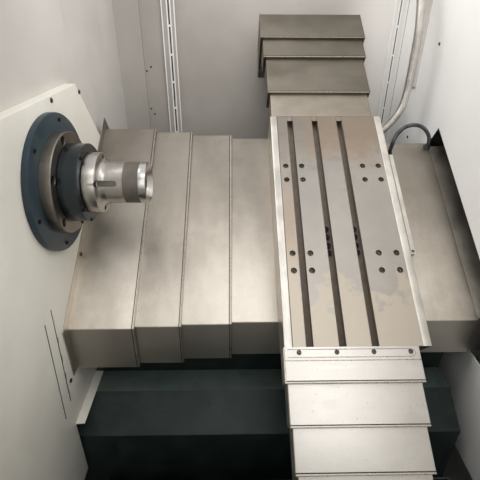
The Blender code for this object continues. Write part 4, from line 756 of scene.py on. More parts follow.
satin = Finish("satin_trim", metallic=1.0)
x, s, n = satin.spot()
brush = satin.noise(satin.join(x * 700.0, s * 18.0, n * 700.0), 1.0, 2.0)
cloud = satin.rise(satin.noise(satin.join(x, s, n), 14.0, 3.0), 0.35, 0.65)
satin_trim = satin.feed(Base_Color=satin.mix(cloud, paint(194, 189, 181), paint(215, 210, 202)),
                        Roughness=0.26 + brush * 0.16 + cloud * 0.05,
                        Normal=satin.bump(brush, 0.00004, 0.6))
folded("trim_left", "slide", satin_trim, 0.0016)
folded("trim_right", "slide", satin_trim, 0.0016)


# Telescopic covers: folded stainless sheet, ground in fine lines, clouded by coolant and rubbed
# by the wipers of the next cover. Their upright skirts take a darker colour as painted shade.

def cover_sheet(name, along_slant, light, dark, skirt):
    finish = Finish(name, metallic=1.0)
    x, s, n = finish.spot()
    place = finish.join(x, s, n)
    stretch = finish.join(x, s * 3.0, n) if along_slant else finish.join(x * 2.4, s, n)
    cloud = finish.rise(finish.noise(stretch, 3.6, 5.0, 0.55), 0.32, 0.68)
    smudge = finish.rise(finish.noise(place, 19.0, 5.0, 0.6), 0.36, 0.70)
    grain = finish.noise(finish.join(x * 22.0, s * 820.0, n * 820.0), 1.0, 2.0)
    wipe = finish.rise(finish.noise(finish.join(x * 5.0, s * 95.0, n * 95.0), 1.0, 3.0), 0.58, 0.75)
    speck = finish.rise(finish.noise(place, 330.0, 1.0), 0.74, 0.78)
    tone = finish.mix(cloud * 0.7 + smudge * 0.3, dark, light)
    if not along_slant:
        # Bed covers darken up the slant towards a dull brown: painted shade.
        tone = finish.mix(finish.rise(s, 0.06, 0.46) * 0.62, tone, paint(100, 93, 84))
    tone = finish.mix(speck * 0.7, tone, paint(70, 62, 54))
    # Faces towards the operator take the skirt colour: painted shade on the upright skirts.
    tone = finish.mix(finish.facing(FRONT, 0.75, 0.95), tone, skirt)
    return finish.feed(Base_Color=tone,
                       Roughness=0.34 + cloud * 0.10 + grain * 0.10 - wipe * 0.06 + smudge * 0.06,
                       Normal=finish.bump(grain + wipe * 0.4, 0.00006, 0.6))


shaded_skirt = paint(118, 112, 103)
bed_sheet = cover_sheet("bed_sheet", False, paint(232, 224, 212), paint(190, 181, 169),
                        paint(186, 180, 171))
front_sheet = cover_sheet("front_sheet", True, paint(230, 226, 219), paint(210, 205, 198),
                          paint(205, 199, 191))
# The rear covers of the cross slide and its top cover take much darker tones than the same sheet elsewhere:
# painted shade.
shaded_rear_sheet = cover_sheet("shaded_rear_sheet", True, paint(137, 130, 118), paint(114, 108, 97), shaded_skirt)
shaded_upper_sheet = cover_sheet("shaded_upper_sheet", True, paint(171, 161, 148), paint(143, 135, 123), shaded_skirt)
for node, body, sheet in (
        ("z_cover_1", "base", bed_sheet), ("z_cover_2", "z_cover_2", bed_sheet),
        ("z_cover_3", "z_cover_3", bed_sheet), ("z_cover_4", "saddle", bed_sheet),
        ("right_cover_1", "saddle", bed_sheet), ("right_cover_2", "right_cover_2", bed_sheet),
        ("x_rear_cover_1", "saddle", shaded_rear_sheet), ("x_rear_cover_2", "x_rear_cover_2", shaded_rear_sheet),
        ("x_rear_cover_3", "x_rear_cover_3", shaded_rear_sheet), ("x_rear_cover_4", "slide", shaded_upper_sheet),
        ("x_front_cover_1", "slide", front_sheet), ("x_front_cover_2", "x_front_cover_2", front_sheet),
        ("x_front_cover_3", "x_front_cover_3", front_sheet), ("x_front_cover_4", "saddle", front_sheet)):
    folded(node, body, sheet)

# Hems: each cover's free edge is folded back on itself. Its rim is wiped bright, and a dark line
# along the fold is painted shade.
hem = small_metal("wiped_hem", paint(168, 160, 149), paint(184, 176, 165), 0.24)
shade_line = small_metal("shade_line", paint(62, 56, 50), paint(96, 88, 80), 0.45, 0.6)


def hemmed(name, body, rim_route, line_route, across):
    """A cover's bright rim and the dark line of painted shade beside it."""
    rim, line = bmesh.new(), bmesh.new()
    bead(rim, rim_route, across, 0.0020, 0.0012, 8)
    bead(line, line_route, across, 0.0022, 0.0007, 8)
    finished_piece(f"{name}_rim", rim, hem, body)
    finished_piece(f"{name}_line", line, shade_line, body)


COVER_TOP, COVER_STEP = -0.060, 0.0075
for k, (edge, body) in enumerate(((-0.339, "base"), (-0.2365, "z_cover_2"), (-0.1245, "z_cover_3"))):
    top = COVER_TOP - k * COVER_STEP
    bend, skirt = sloped(0.0, 0.0504 + 0.0058 * k, top), 0.1162 - 0.0059 * k
    routes = []
    for x in (edge - 0.0014, edge - 0.0052):
        side = Vector((x, 0.0, 0.0))
        routes.append([sloped(x, 0.6085 - 0.0053 * k, top), bend + side,
                       bend + side - Vector((0.0, 0.0, skirt))])
    hemmed(f"bed_hem_{k + 1}", body, *routes, ALONG)


def slant_hem(name, body, low, n, left, right):
    """Hem across the lower edge of a cover on the slant."""
    routes = [[sloped(left, low + rise, n), sloped(right, low + rise, n)] for rise in (0.0014, 0.0048)]
    hemmed(name, body, *routes, slope_up)


rear_hems = ((0.8930, "saddle"), (0.8180, "x_rear_cover_2"), (0.6850, "x_rear_cover_3"))
front_hems = ((-0.0683, "slide"), (-0.1438, "x_front_cover_2"), (-0.2193, "x_front_cover_3"))
for k, ((rear_low, rear_body), (front_low, front_body)) in enumerate(zip(rear_hems, front_hems)):
    wide, inset = 0.007 * (3 - k), 0.00525 * k
    slant_hem(f"rear_hem_{k + 1}", rear_body, rear_low, -0.0025 + 0.008 * (3 - k),
              -0.0144 - wide, 0.2614 + wide)
    slant_hem(f"front_hem_{k + 1}", front_body, front_low, 0.002 - 0.007 * k,
              -0.0204 + inset, 0.2544 - inset)

# The first front cover has a pressed rim under its screws and a weld bead down its left side.
rim, rim_top = bmesh.new(), 0.0021
pressed = ((-0.012, -0.0050), (0.236, -0.0050), (0.243, -0.0080), (0.245, -0.0125), (0.243, -0.0170),
           (0.236, -0.0200), (-0.012, -0.0200))
bead(rim, [sloped(x, s, rim_top) for x, s in pressed], cover_up, 0.0010, 0.0016, 8)
bead(rim, [sloped(-0.019, -0.0260, rim_top), sloped(0.253, -0.0260, rim_top)], cover_up, 0.0010, 0.0018, 8)
bead(rim, [sloped(-0.0195, -0.0030, 0.0020), sloped(-0.0195, -0.0660, 0.0020)], cover_up, 0.0012, 0.0032, 8)
finished_piece("front_cover_rim", rim, hem, "slide")
GUARD_STRIP = 0.322
guard = bmesh.new()
bead(guard, [sloped(GUARD_STRIP, 0.2265, -0.0702), sloped(GUARD_STRIP, 0.5245, -0.0702)], ALONG, 0.0104,
     0.0014, 4)
finished_piece("guard_strip_cap", guard, satin_trim, "saddle")


def button_head(radius, height, key):
    """Low domed screw head with a six-sided socket."""
    return stacked([(28, radius, 0.0), (28, radius * 0.96, height * 0.45), (28, radius * 0.80, height * 0.82),
                    (28, radius * 0.55, height), (6, key, height * 0.98), (6, key, height * 0.45)])


front_places = [sloped(x, -0.0105, 0.0020) for x in (0.0107, 0.0869, 0.1613, 0.2358)]
screws("front_cover_screws", front_places, cover_up, button_head(0.0050, 0.0022, 0.0022), screw_steel,
       "slide")
screws("cover_flange_screw", [sloped(-0.4810, 0.2230, -0.050)], ALONG, button_head(0.0050, 0.0024, 0.0022),
       screw_steel, "base")
screws("guard_strip_screw", [sloped(GUARD_STRIP, 0.234, -0.0705)], cover_up,
       button_head(0.0040, 0.0020, 0.0018), dark_screw, "saddle")


# Cream cover of the headstock, and the walls round the work: sheet under powder coat with a fine
# peel and a little dirt, folded at its joints and held by screws and rivets.

def powder_coat(name, light, dark, roughness, lit_color=None):
    """Powder coat. A paler colour, painted light, takes over towards the right of the work."""
    finish, grime = Finish(name, roughness), paint(150, 144, 134)
    x, y, z = finish.level_spot()
    place = finish.join(x, y, z)
    peel = finish.noise(place, 520.0, 2.0)
    cloud = finish.rise(finish.noise(place, 5.0, 4.0), 0.3, 0.7)
    dirt = finish.rise(finish.noise(finish.join(x * 12.0, y * 12.0, z * 4.0), 1.0, 5.0, 0.65), 0.60, 0.80)
    speck = finish.rise(finish.noise(place, 260.0, 1.0), 0.76, 0.79)
    coat = finish.mix(cloud, dark, light)
    if lit_color:
        coat = finish.mix(finish.rise(x, 0.22, 0.42), coat, lit_color)
    tone = finish.mix(speck * 0.5, finish.mix(dirt * 0.16, coat, grime), grime)
    return finish.feed(Base_Color=tone, Roughness=roughness + dirt * 0.12 + peel * 0.06,
                       Normal=finish.bump(peel, 0.0004, 0.35))


cream_coat = powder_coat("cream_coat", paint(238, 235, 225), paint(227, 223, 212), 0.42)
wall_coat = powder_coat("wall_coat", paint(212, 207, 202), paint(202, 197, 191), 0.46)
# The rear wall turns pale towards the right: painted light.
rear_coat = powder_coat("rear_coat", paint(177, 171, 165), paint(165, 159, 152), 0.46,
                        paint(234, 230, 226))
white_coat = powder_coat("white_coat", paint(246, 245, 243), paint(241, 240, 238), 0.40)
folded("headstock_plate", "base", cream_coat, 0.0022)
dress(wall_coat, "left_wall")
dress(rear_coat, "rear_wall")
dress(white_coat, "right_wall")

seams = bmesh.new()
for start, end in (((0.0370, 0.0690), (0.0180, -0.1760)), ((0.0040, 0.0600), (-0.0160, -0.1900))):
    bead(seams, [inside(PLATE_FACE - 0.0002, *start), inside(PLATE_FACE - 0.0002, *end)], ALONG, 0.0008,
         0.0026, 8)
finished_piece("side_panel_seams", seams, dark_screw, "base")
slots, clip_face = bmesh.new(), PLATE_FACE + 0.0001
for k in range(5):
    y, z = 0.0355 - 0.0038 * k, 0.049 - 0.049 * k
    bead(slots, [inside(clip_face, y + 0.0012, z), inside(clip_face, y, z - 0.016)], ALONG, 0.0010, 0.0036, 8)
finished_piece("side_panel_clips", slots, satin_trim, "base")

# Joints of the wall sheets: folded flanges, the dark groove between them, and spot-weld tabs.
groove, flange, FLOOR_LINE, TOP_LINE = bmesh.new(), bmesh.new(), -0.245, 0.948
LEFT, RIGHT, REAR = (-1.0, 0.0, 0.0), (1.0, 0.0, 0.0), (0.0, 1.0, 0.0)
for x, y, width in ((-0.3350, 0.9079, 0.0034), (0.4470, 0.9079, 0.0026), (-0.4350, 0.9178, 0.0012)):
    bead(groove, [inside(x, y, FLOOR_LINE), inside(x, y, TOP_LINE)], ALONG, width, 0.0012, 8)
bead(groove, [inside(0.4649, 0.888, 0.0), inside(0.4649, 0.888, TOP_LINE)], REAR, 0.0018, 0.0010, 8)
for x, y in ((-0.3405, 0.9080), (-0.3295, 0.9080), (0.4420, 0.9080), (0.4515, 0.9080), (-0.3585, 0.9084),
             (-0.3165, 0.9084), (0.4290, 0.9084)):
    bead(flange, [inside(x, y, FLOOR_LINE), inside(x, y, TOP_LINE)], ALONG, 0.0040, 0.0018, 8)
for k in range(-5, 8):
    for x in (-0.3350, 0.4470):
        z = 0.2728 + 0.0925 * k
        bead(flange, [inside(x, 0.9076, z), inside(x, 0.9076, z + 0.007)], ALONG, 0.0060, 0.0018, 8)
finished_piece("wall_grooves", groove, dark_screw, "base")
# The flanges and tabs take the whiter coat, paler than the rear wall: painted highlight along the folds.
finished_piece("wall_flanges", flange, white_coat, "base")
# A raised strip in the greyer wall coat on the white right wall stands in for the conduit's shadow: painted
# shadow.
conduit_shadow = bmesh.new()
bead(conduit_shadow, [inside(0.4615, 0.740, 0.385), inside(0.4615, 0.740, 0.945)], REAR, 0.050, 0.0065, 4)
finished_piece("conduit_shadow_strip", conduit_shadow, wall_coat, "base")
wall_rivet = stacked([(20, 0.0050, 0.0), (20, 0.0044, 0.0009), (20, 0.0018, 0.0016)])
wall_places = [inside(0.4650, y, z) for y, z in ((0.7025, 0.2253), (0.62, 0.52), (0.25, 0.55))]
screws("right_wall_rivets", wall_places, LEFT, wall_rivet, dark_screw, "base")
plate_places = [inside(PLATE_FACE - 0.0003, y, z)
                for y, z in ((0.388, 0.429), (0.233, 0.441), (0.039, -0.136))]
screws("plate_screws", plate_places, ALONG, button_head(0.0055, 0.0024, 0.0024), screw_steel, "base")

rear_rivet = stacked([(20, 0.0034, 0.0), (20, 0.0032, 0.0007), (20, 0.0024, 0.0013), (20, 0.0012, 0.0016)])
rear_places = [inside(x, 0.918, z) for x, z in ((-0.413, 0.419), (-0.429, 0.405), (-0.426, 0.271),
                                                (-0.415, 0.251))]
screws("rear_rivets", rear_places, FRONT, rear_rivet, dark_screw, "base")


# Cabinets: bent and welded sheet under white powder coat. Service doors with rounded corners hang
# on barrel hinges, close with quarter-turn latches, and breathe through pressed louvres.

outer_coat = powder_coat("outer_coat", paint(222, 222, 220), paint(214, 214, 211), 0.38)
for node in ("left_cabinet", "right_cabinet", "electrical_cabinet"):
    folded(node, "base", outer_coat, 0.005)
dress(outer_coat, "front_panel")

LEFT_FACE, RIGHT_FACE, FRONT_FACE, REAR_FACE = -1.230, 0.800, -0.395, 1.0803
ROOF = 0.950


def raised(bm, place, facing, width, height, thickness, corner, rim=0.0012):
    """Flat piece with rounded corners and an eased rim, standing on a face."""
    shape = bmesh.new()
    bmesh.ops.create_grid(shape, x_segments=1, y_segments=1, size=0.5)
    bmesh.ops.scale(shape, vec=(width, height, 1.0), verts=shape.verts)
    bmesh.ops.bevel(shape, geom=shape.verts[:], offset=corner, offset_type="OFFSET", segments=5, profile=0.5,
                    affect="VERTICES", material=-1)
    made = bmesh.ops.extrude_face_region(shape, geom=shape.faces[:])["geom"]
    top = [item for item in made if isinstance(item, bmesh.types.BMVert)]
    bmesh.ops.translate(shape, vec=(0.0, 0.0, thickness), verts=top)
    edges = [edge for edge in shape.edges if all(vert.co.z > thickness / 2.0 for vert in edge.verts)]
    bmesh.ops.bevel(shape, geom=edges, offset=min(rim, thickness * 0.45), offset_type="OFFSET", segments=2,
                    profile=0.5, affect="EDGES", material=-1)
    bmesh.ops.recalc_face_normals(shape, faces=shape.faces)
    set_about(bm, shape, place, facing)
    shape.free()


def on_face(facing, place, across, up, out):
    """Place on an upright face: across to the right of someone who looks at it, and up."""
    outward = Vector(facing)
    side = Vector(UP).cross(outward)
    return Vector(place) + side * across + Vector((0.0, 0.0, up)) + outward * out


hinge_barrel = [(20, 0.0055, 0.0), (20, 0.0065, 0.001), (20, 0.0065, 0.0345), (20, 0.0058, 0.0350),
                (20, 0.0065, 0.0355), (20, 0.0065, 0.069), (20, 0.0055, 0.070)]
latch_rings = [(32, 0.0150, 0.0), (32, 0.0150, 0.0020), (32, 0.0138, 0.0034), (32, 0.0090, 0.0036),
               (32, 0.0085, 0.0016)]


def service_door(name, place, facing, width, height, hinge_side, louvres):
    """Door leaf over a dark gasket whose rim round the leaf is painted shade of the gap, with its hinges,
    latches and rows of louvres.
    """
    leaf, gasket, fittings, dark = bmesh.new(), bmesh.new(), bmesh.new(), bmesh.new()
    raised(gasket, on_face(facing, place, 0.0, 0.0, -0.0002), facing, width + 0.007, height + 0.007, 0.0012,
           0.012)
    raised(leaf, on_face(facing, place, 0.0, 0.0, 0.0003), facing, width, height, 0.0050, 0.009, 0.0018)
    for up in (-height * 0.34, height * 0.34):
        foot = on_face(facing, place, hinge_side * (width / 2.0 + 0.006), up - 0.035, 0.0075)
        barrel(fittings, foot, UP, hinge_barrel)
        strap = on_face(facing, place, hinge_side * (width / 2.0 - 0.010), up, 0.0052)
        raised(fittings, strap, facing, 0.030, 0.064, 0.0016, 0.003, 0.0005)
        latch = on_face(facing, place, -hinge_side * (width / 2.0 - 0.032), up, 0.0051)
        barrel(fittings, latch, facing, latch_rings)
        # A dark plate on each latch stands in for its slot: painted shade.
        raised(dark, latch + Vector(facing) * 0.0012, facing, 0.0030, 0.0120, 0.0010, 0.0010, 0.0002)
    half, across, lip = min(width * 0.28, 0.11), Vector(UP).cross(Vector(facing)), Vector(facing) * 0.0035
    for row in range(louvres):
        up = -height * 0.22 - 0.020 * row
        middle = on_face(facing, place, 0.0, up, 0.0050)
        bead(leaf, [middle - across * half, middle - across * (half - 0.006) + lip,
                    middle + across * (half - 0.006) + lip, middle + across * half], UP, 0.0105, 0.0060, 10)
        # A dark strip under each louvre stands in for its opening: painted shade.
        low = on_face(facing, place, 0.0, up - 0.0066, 0.0056)
        bead(dark, [low - across * (half - 0.004), low + across * (half - 0.004)], UP, 0.0030, 0.0012, 8)
    finished_piece(f"{name}_leaf", leaf, outer_coat, "base")
    finished_piece(f"{name}_gasket", gasket, belt_rubber, "base")
    finished_piece(f"{name}_fittings", fittings, screw_bright, "base")
    finished_piece(f"{name}_slots", dark, dark_screw, "base")


service_door("left_door_front", inside(LEFT_FACE, -0.085, 0.075), LEFT, 0.52, 1.54, 1.0, 9)
service_door("left_door_rear", inside(LEFT_FACE, 0.525, 0.075), LEFT, 0.58, 1.54, -1.0, 9)
service_door("right_door_front", inside(RIGHT_FACE, -0.085, -0.190), RIGHT, 0.50, 1.02, -1.0, 8)
service_door("right_door_rear", inside(RIGHT_FACE, 0.520, -0.190), RIGHT, 0.58, 1.02, 1.0, 8)
service_door("front_left_door", inside(-0.870, FRONT_FACE, -0.330), FRONT, 0.64, 0.80, -1.0, 6)
service_door("front_right_door", inside(0.634, FRONT_FACE, -0.330), FRONT, 0.27, 0.74, 1.0, 5)
service_door("electric_door_left", inside(0.205, REAR_FACE, 0.175), REAR, 0.44, 1.06, -1.0, 6)
service_door("electric_door_right", inside(-0.270, REAR_FACE, 0.175), REAR, 0.42, 1.06, 1.0, 6)

# Fixed sheets: bolted top panels on the cabinets, side panels above the doors, and lifting eyes.
# A dark rubber sheet under each fixed panel shows round its edge as painted shade of the gap.
panels, panel_gap_shade, bolts = bmesh.new(), bmesh.new(), []
for x, y, width, depth in ((-0.870, 0.233, 0.66, 1.16), (0.634, 0.233, 0.27, 1.16)):
    raised(panel_gap_shade, inside(x, y, ROOF - 0.0001), UP, width + 0.006, depth + 0.006, 0.0009, 0.010)
    raised(panels, inside(x, y, ROOF + 0.0001), UP, width, depth, 0.0032, 0.008)
    bolts += [(inside(x + dx * (width / 2.0 - 0.018), y + dy * (depth / 2.0 - 0.018), ROOF + 0.0033), UP)
              for dx in (-1.0, 1.0) for dy in (-1.0, -0.33, 0.33, 1.0)]
for y, width in ((-0.085, 0.50), (0.520, 0.58)):
    raised(panel_gap_shade, inside(RIGHT_FACE - 0.0001, y, 0.640), RIGHT, width + 0.006, 0.516, 0.0009, 0.010)
    raised(panels, inside(RIGHT_FACE + 0.0001, y, 0.640), RIGHT, width, 0.510, 0.0032, 0.008)
    bolts += [(inside(RIGHT_FACE + 0.0033, y + dy * (width / 2.0 - 0.016), 0.640 + dz * 0.239), RIGHT)
              for dy in (-1.0, 1.0) for dz in (-1.0, 0.0, 1.0)]
finished_piece("fixed_panels", panels, outer_coat, "base")
finished_piece("fixed_panel_gap_shade", panel_gap_shade, belt_rubber, "base")
bolt_heads = bmesh.new()
for place, facing in bolts:
    barrel(bolt_heads, place, facing, [(20, 0.0080, 0.0), (20, 0.0080, 0.0010), (20, 0.0058, 0.0012),
                                       (20, 0.0054, 0.0038), (20, 0.0034, 0.0048), (6, 0.0026, 0.0047),
                                       (6, 0.0026, 0.0028)])
finished_piece("panel_bolts", bolt_heads, screw_steel, "base")
eyes = bmesh.new()
for x, y in ((-1.150, -0.320), (-1.150, 0.790), (0.735, -0.320), (0.735, 0.790)):
    foot = inside(x, y, ROOF + 0.0031)
    barrel(eyes, foot, UP, [(28, 0.0150, 0.0), (28, 0.0160, 0.0020), (28, 0.0150, 0.0060),
                            (28, 0.0080, 0.0080)])
    ring = [foot + Vector((0.0155 * math.sin(turn), 0.0, 0.0235 - 0.0155 * math.cos(turn)))
            for turn in [math.radians(18.0 * k) for k in range(20)]]
    bead(eyes, ring + ring[:1], REAR, 0.0085, 0.0085, 10)
finished_piece("lifting_eyes", eyes, screw_steel, "base")

# Main switch on the electrical cabinet: a red turning knob on a yellow plate.
switch_plate, knob = bmesh.new(), bmesh.new()
raised(switch_plate, inside(0.205, REAR_FACE + 0.0053, 0.560), REAR, 0.070, 0.070, 0.0030, 0.006)
barrel(knob, inside(0.205, REAR_FACE + 0.0083, 0.560), REAR,
       [(36, 0.0240, 0.0), (36, 0.0240, 0.0120), (36, 0.0225, 0.0140), (36, 0.0120, 0.0142)])
raised(knob, inside(0.205, REAR_FACE + 0.0215, 0.560), REAR, 0.0120, 0.0440, 0.0130, 0.004, 0.0016)


def moulded(name, color, roughness=0.42):
    """Moulded plastic: one colour with a faint flow cloud and a fine eroded texture."""
    finish = Finish(name, roughness)
    place = finish.from_corner()
    flow, fine = finish.noise(place, 26.0, 3.0), finish.noise(place, 1400.0, 1.0)
    darker = (*[channel * 0.80 for channel in color[:3]], 1.0)
    return finish.feed(Base_Color=finish.mix(flow, darker, color), Roughness=roughness + fine * 0.14,
                       Normal=finish.bump(fine, 0.0002, 0.35))


yellow_plastic = moulded("yellow_plastic", paint(212, 176, 44))
red_plastic = moulded("red_plastic", paint(168, 34, 30), 0.30)
green_plastic = moulded("green_plastic", paint(44, 122, 70), 0.30)
grey_plastic = moulded("grey_plastic", paint(120, 123, 124))
pale_plastic = moulded("pale_plastic", paint(206, 206, 200))
black_plastic = moulded("black_plastic", paint(38, 39, 40))
finished_piece("switch_plate", switch_plate, yellow_plastic, "base")
finished_piece("switch_knob", knob, red_plastic, "base")


# Sliding door: a white frame around a laminated window. A rubber gasket holds the pane, a bowed
# tube is the handle, and two bolted hangers carry the door on its rail.

folded("door_frame", "door", outer_coat, 0.004)
DOOR_FACE, PANE_INSET, PANE_CORNER = -0.4250, 0.015, 0.018
PANE = ((-1.120, 0.290, -1.0, -1.0, 270.0), (-1.120, 0.730, -1.0, 1.0, 180.0),
        (-0.530, 0.730, 1.0, 1.0, 90.0), (-0.530, 0.290, 1.0, -1.0, 0.0))


def pane_route(depth):
    """Closed route round the window, with rounded corners."""
    route = []
    for x, z, side, rise, start in PANE:
        for turn in [math.radians(start - 22.5 * step) for step in range(5)]:
            route.append(inside(x - side * PANE_INSET + PANE_CORNER * math.cos(turn), depth,
                                z - rise * PANE_INSET + PANE_CORNER * math.sin(turn)))
    return route + route[:1]


gasket = bmesh.new()
bead(gasket, pane_route(DOOR_FACE - 0.0012), REAR, 0.0070, 0.0120, 10)
bead(gasket, pane_route(DOOR_FACE + 0.0250), REAR, 0.0060, 0.0120, 10)
finished_piece("window_gasket", gasket, belt_rubber, "door")
glass = Finish("laminated_glass", 0.06, Transmission_Weight=0.85, IOR=1.48)
dress(glass.feed(Base_Color=glass.mix(glass.noise(glass.from_corner(), 6.0), paint(196, 206, 204),
                                      paint(214, 222, 220))), "door_window")

handle, HANDLE, HANDLE_LOW, HANDLE_HIGH, REACH, BOW = bmesh.new(), -0.465, 0.368, 0.632, 0.0246, 0.0220
tube = [inside(HANDLE, DOOR_FACE - 0.0006, HANDLE_LOW)]
for turn in [math.radians(15.0 * k) for k in range(7)]:
    tube.append(inside(HANDLE, DOOR_FACE - REACH + BOW - BOW * math.sin(turn),
                       HANDLE_LOW + BOW - BOW * math.cos(turn)))
upper = [inside(HANDLE, point.y - CORNER.y, HANDLE_LOW + HANDLE_HIGH - (point.z - CORNER.z))
         for point in reversed(tube)]
bead(handle, tube + upper, ALONG, 0.0210, 0.0210, 20)
for z in (HANDLE_LOW, HANDLE_HIGH):
    barrel(handle, inside(HANDLE, DOOR_FACE - 0.0003, z), FRONT,
           [(32, 0.0190, 0.0), (32, 0.0190, 0.0030), (32, 0.0165, 0.0052), (32, 0.0110, 0.0060)])
finished_piece("door_handle_tube", handle, black_plastic, "door", ["door_handle"])

hangers, hanger_bolts = bmesh.new(), bmesh.new()
for x in (-1.080, -0.560):
    raised(hangers, inside(x, DOOR_FACE - 0.0002, 0.822), FRONT, 0.090, 0.052, 0.0045, 0.006)
    for dx in (-0.030, 0.030):
        barrel(hanger_bolts, inside(x + dx, DOOR_FACE - 0.0047, 0.822), FRONT,
               [(20, 0.0085, 0.0), (20, 0.0085, 0.0008), (6, 0.0070, 0.0010), (6, 0.0070, 0.0052),
                (6, 0.0055, 0.0060)])
finished_piece("door_hangers", hangers, satin_trim, "door")
finished_piece("door_hanger_bolts", hanger_bolts, screw_steel, "door")
edge = bmesh.new()
bead(edge, [inside(-0.4010, -0.4130, 0.175), inside(-0.4010, -0.4130, 0.825)], ALONG, 0.0060, 0.0160, 10)
finished_piece("door_edge_rubber", edge, belt_rubber, "door")

# Opening in the front panel: a folded safety edge all round, and bolts down both sides of the
# sheet.
LINING, OPEN_LEFT, OPEN_RIGHT, OPEN_LOW, OPEN_HIGH = -0.3935, -0.4192, 0.3892, 0.2008, 0.7992
lining = bmesh.new()
opening = ((OPEN_LEFT, OPEN_LOW), (OPEN_LEFT, OPEN_HIGH), (OPEN_RIGHT, OPEN_HIGH), (OPEN_RIGHT, OPEN_LOW),
           (OPEN_LEFT, OPEN_LOW))
bead(lining, [inside(x, LINING, z) for x, z in opening], REAR, 0.0074, 0.0060, 10)
finished_piece("opening_edge", lining, satin_trim, "base")
lower_gaps, lower_bolts, gap_face = bmesh.new(), bmesh.new(), FRONT_FACE - 0.0001
for x, inward in ((-0.4945, 0.016), (0.4520, -0.016)):
    bead(lower_gaps, [inside(x, gap_face, -0.770), inside(x, gap_face, 0.940)], ALONG, 0.0030, 0.0008, 6)
    for k in range(7):
        barrel(lower_bolts, inside(x + inward, FRONT_FACE - 0.0002, -0.700 + 0.265 * k), FRONT,
               [(20, 0.0075, 0.0), (20, 0.0075, 0.0008), (20, 0.0055, 0.0010), (20, 0.0050, 0.0030),
                (20, 0.0030, 0.0038), (6, 0.0024, 0.0037), (6, 0.0024, 0.0022)])
bead(lower_gaps, [inside(-0.493, gap_face, 0.120), inside(0.4505, gap_face, 0.120)], UP, 0.0030, 0.0008, 6)
finished_piece("front_panel_joints", lower_gaps, belt_rubber, "base")
finished_piece("front_panel_bolts", lower_bolts, screw_steel, "base")


# Operator's console: a cream sheet housing with a screen over a keyboard. Override knobs and
# start buttons stand on the sloping ledge below, and a hand wheel and the stop button under it.

folded("control_panel", "base", cream_coat, 0.006)
MIDDLE, SCREEN_FACE, KEY_FACE, LOWER_FACE = 0.6375, -0.4403, -0.4431, -0.4953
screen_frame, screen, key_panel, keys, dark_keys = (bmesh.new() for _ in range(5))
raised(screen_frame, inside(MIDDLE, SCREEN_FACE, 0.565), FRONT, 0.240, 0.200, 0.0050, 0.010, 0.0022)
raised(screen, inside(MIDDLE, SCREEN_FACE - 0.0048, 0.572), FRONT, 0.202, 0.150, 0.0010, 0.004, 0.0003)
for k in range(8):
    raised(keys, inside(MIDDLE - 0.091 + 0.026 * k, SCREEN_FACE - 0.0048, 0.4805), FRONT, 0.0200, 0.0110,
           0.0026, 0.0022, 0.0008)
raised(key_panel, inside(MIDDLE, SCREEN_FACE, 0.392), FRONT, 0.240, 0.118, 0.0030, 0.008)
finished_piece("key_panel", key_panel, grey_plastic, "base")
for row in range(5):
    for column in range(9):
        target = dark_keys if column in (0, 8) or row == 4 else keys
        raised(target, inside(MIDDLE - 0.100 + 0.025 * column, KEY_FACE, 0.436 - 0.022 * row), FRONT,
               0.0190, 0.0160, 0.0034, 0.0024, 0.0010)
finished_piece("screen_frame", screen_frame, black_plastic, "base")
display = Finish("display", 0.08, Coat_Weight=0.4)
dark_glass = display.feed(Base_Color=display.mix(display.noise(display.from_corner(), 9.0),
                                                 paint(22, 26, 31), paint(34, 40, 46)))
finished_piece("screen", screen, dark_glass, "base")
finished_piece("keys", keys, pale_plastic, "base")
finished_piece("function_keys", dark_keys, black_plastic, "base")

ledge_out = Vector((0.0, -0.100, 0.055)).normalized()
ledge_up = Vector((0.0, 0.055, 0.100)).normalized()


def on_ledge(side):
    """Foot of a knob or a button on the sloping ledge."""
    return inside(MIDDLE + side, -0.4678, 0.2700) + ledge_up * 0.012


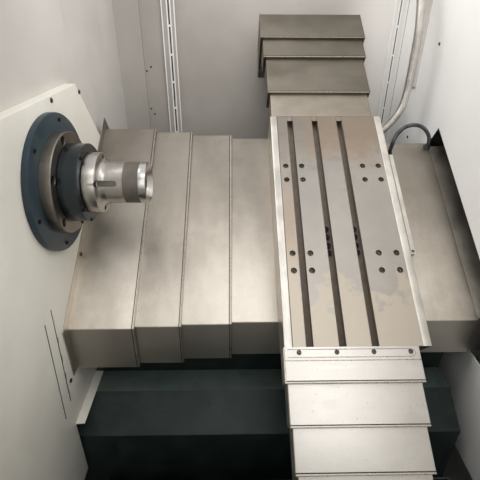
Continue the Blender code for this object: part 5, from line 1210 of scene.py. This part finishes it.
knobs, green_caps, red_caps, collars, stop_base = (bmesh.new() for _ in range(5))
for side in (-0.085, -0.030):
    barrel(knobs, on_ledge(side), ledge_out, [(36, 0.0165, 0.0), (36, 0.0165, 0.0040), (36, 0.0130, 0.0055),
                                              (36, 0.0122, 0.0150), (36, 0.0105, 0.0165)])
    raised(knobs, on_ledge(side) + ledge_out * 0.0160, ledge_out, 0.0030, 0.0200, 0.0014, 0.0012, 0.0004)
for side, caps in ((0.022, green_caps), (0.060, red_caps)):
    barrel(collars, on_ledge(side), ledge_out, [(36, 0.0145, 0.0), (36, 0.0145, 0.0020), (36, 0.0128, 0.0050),
                                                (36, 0.0112, 0.0052)])
    barrel(caps, on_ledge(side), ledge_out, [(36, 0.0110, 0.0030), (36, 0.0110, 0.0062),
                                             (36, 0.0095, 0.0074)])
stop_foot, wheel = inside(MIDDLE + 0.090, LOWER_FACE, 0.186), inside(MIDDLE - 0.060, LOWER_FACE, 0.186)
barrel(stop_base, stop_foot, FRONT, [(40, 0.0240, 0.0), (40, 0.0240, 0.0060), (40, 0.0225, 0.0072),
                                     (40, 0.0140, 0.0074), (40, 0.0130, 0.0170)])
barrel(red_caps, stop_foot, FRONT, [(40, 0.0150, 0.0165), (40, 0.0195, 0.0180), (40, 0.0200, 0.0230),
                                    (40, 0.0180, 0.0290), (40, 0.0110, 0.0325), (40, 0.0040, 0.0335)])
barrel(knobs, wheel, FRONT, [(48, 0.0270, 0.0), (48, 0.0270, 0.0030), (48, 0.0240, 0.0036),
                             (48, 0.0240, 0.0120), (48, 0.0225, 0.0140), (48, 0.0080, 0.0142)])
barrel(knobs, wheel + Vector((0.0140, -0.0138, 0.0080)), FRONT,
       [(24, 0.0042, 0.0), (24, 0.0055, 0.0100), (24, 0.0045, 0.0150), (24, 0.0020, 0.0160)])
finished_piece("console_knobs", knobs, black_plastic, "base")
finished_piece("start_button", green_caps, green_plastic, "base")
finished_piece("stop_buttons", red_caps, red_plastic, "base")
finished_piece("button_collars", collars, screw_bright, "base")
finished_piece("stop_base", stop_base, yellow_plastic, "base")


# Chip tray: a drawer of enamelled sheet that pulls out under the front panel, stiffened by a
# rolled rim along its top and its foot.

rim = bmesh.new()
bead(rim, [inside(-0.4490, -0.3985, -0.4260), inside(0.4090, -0.3985, -0.4260)], UP, 0.0044, 0.0060, 10)
bead(rim, [inside(-0.4470, -0.3990, -0.5920), inside(0.4070, -0.3990, -0.5920)], UP, 0.0060, 0.0030, 10)
finished_piece("tray_rims", rim, green_enamel, "chip_tray")
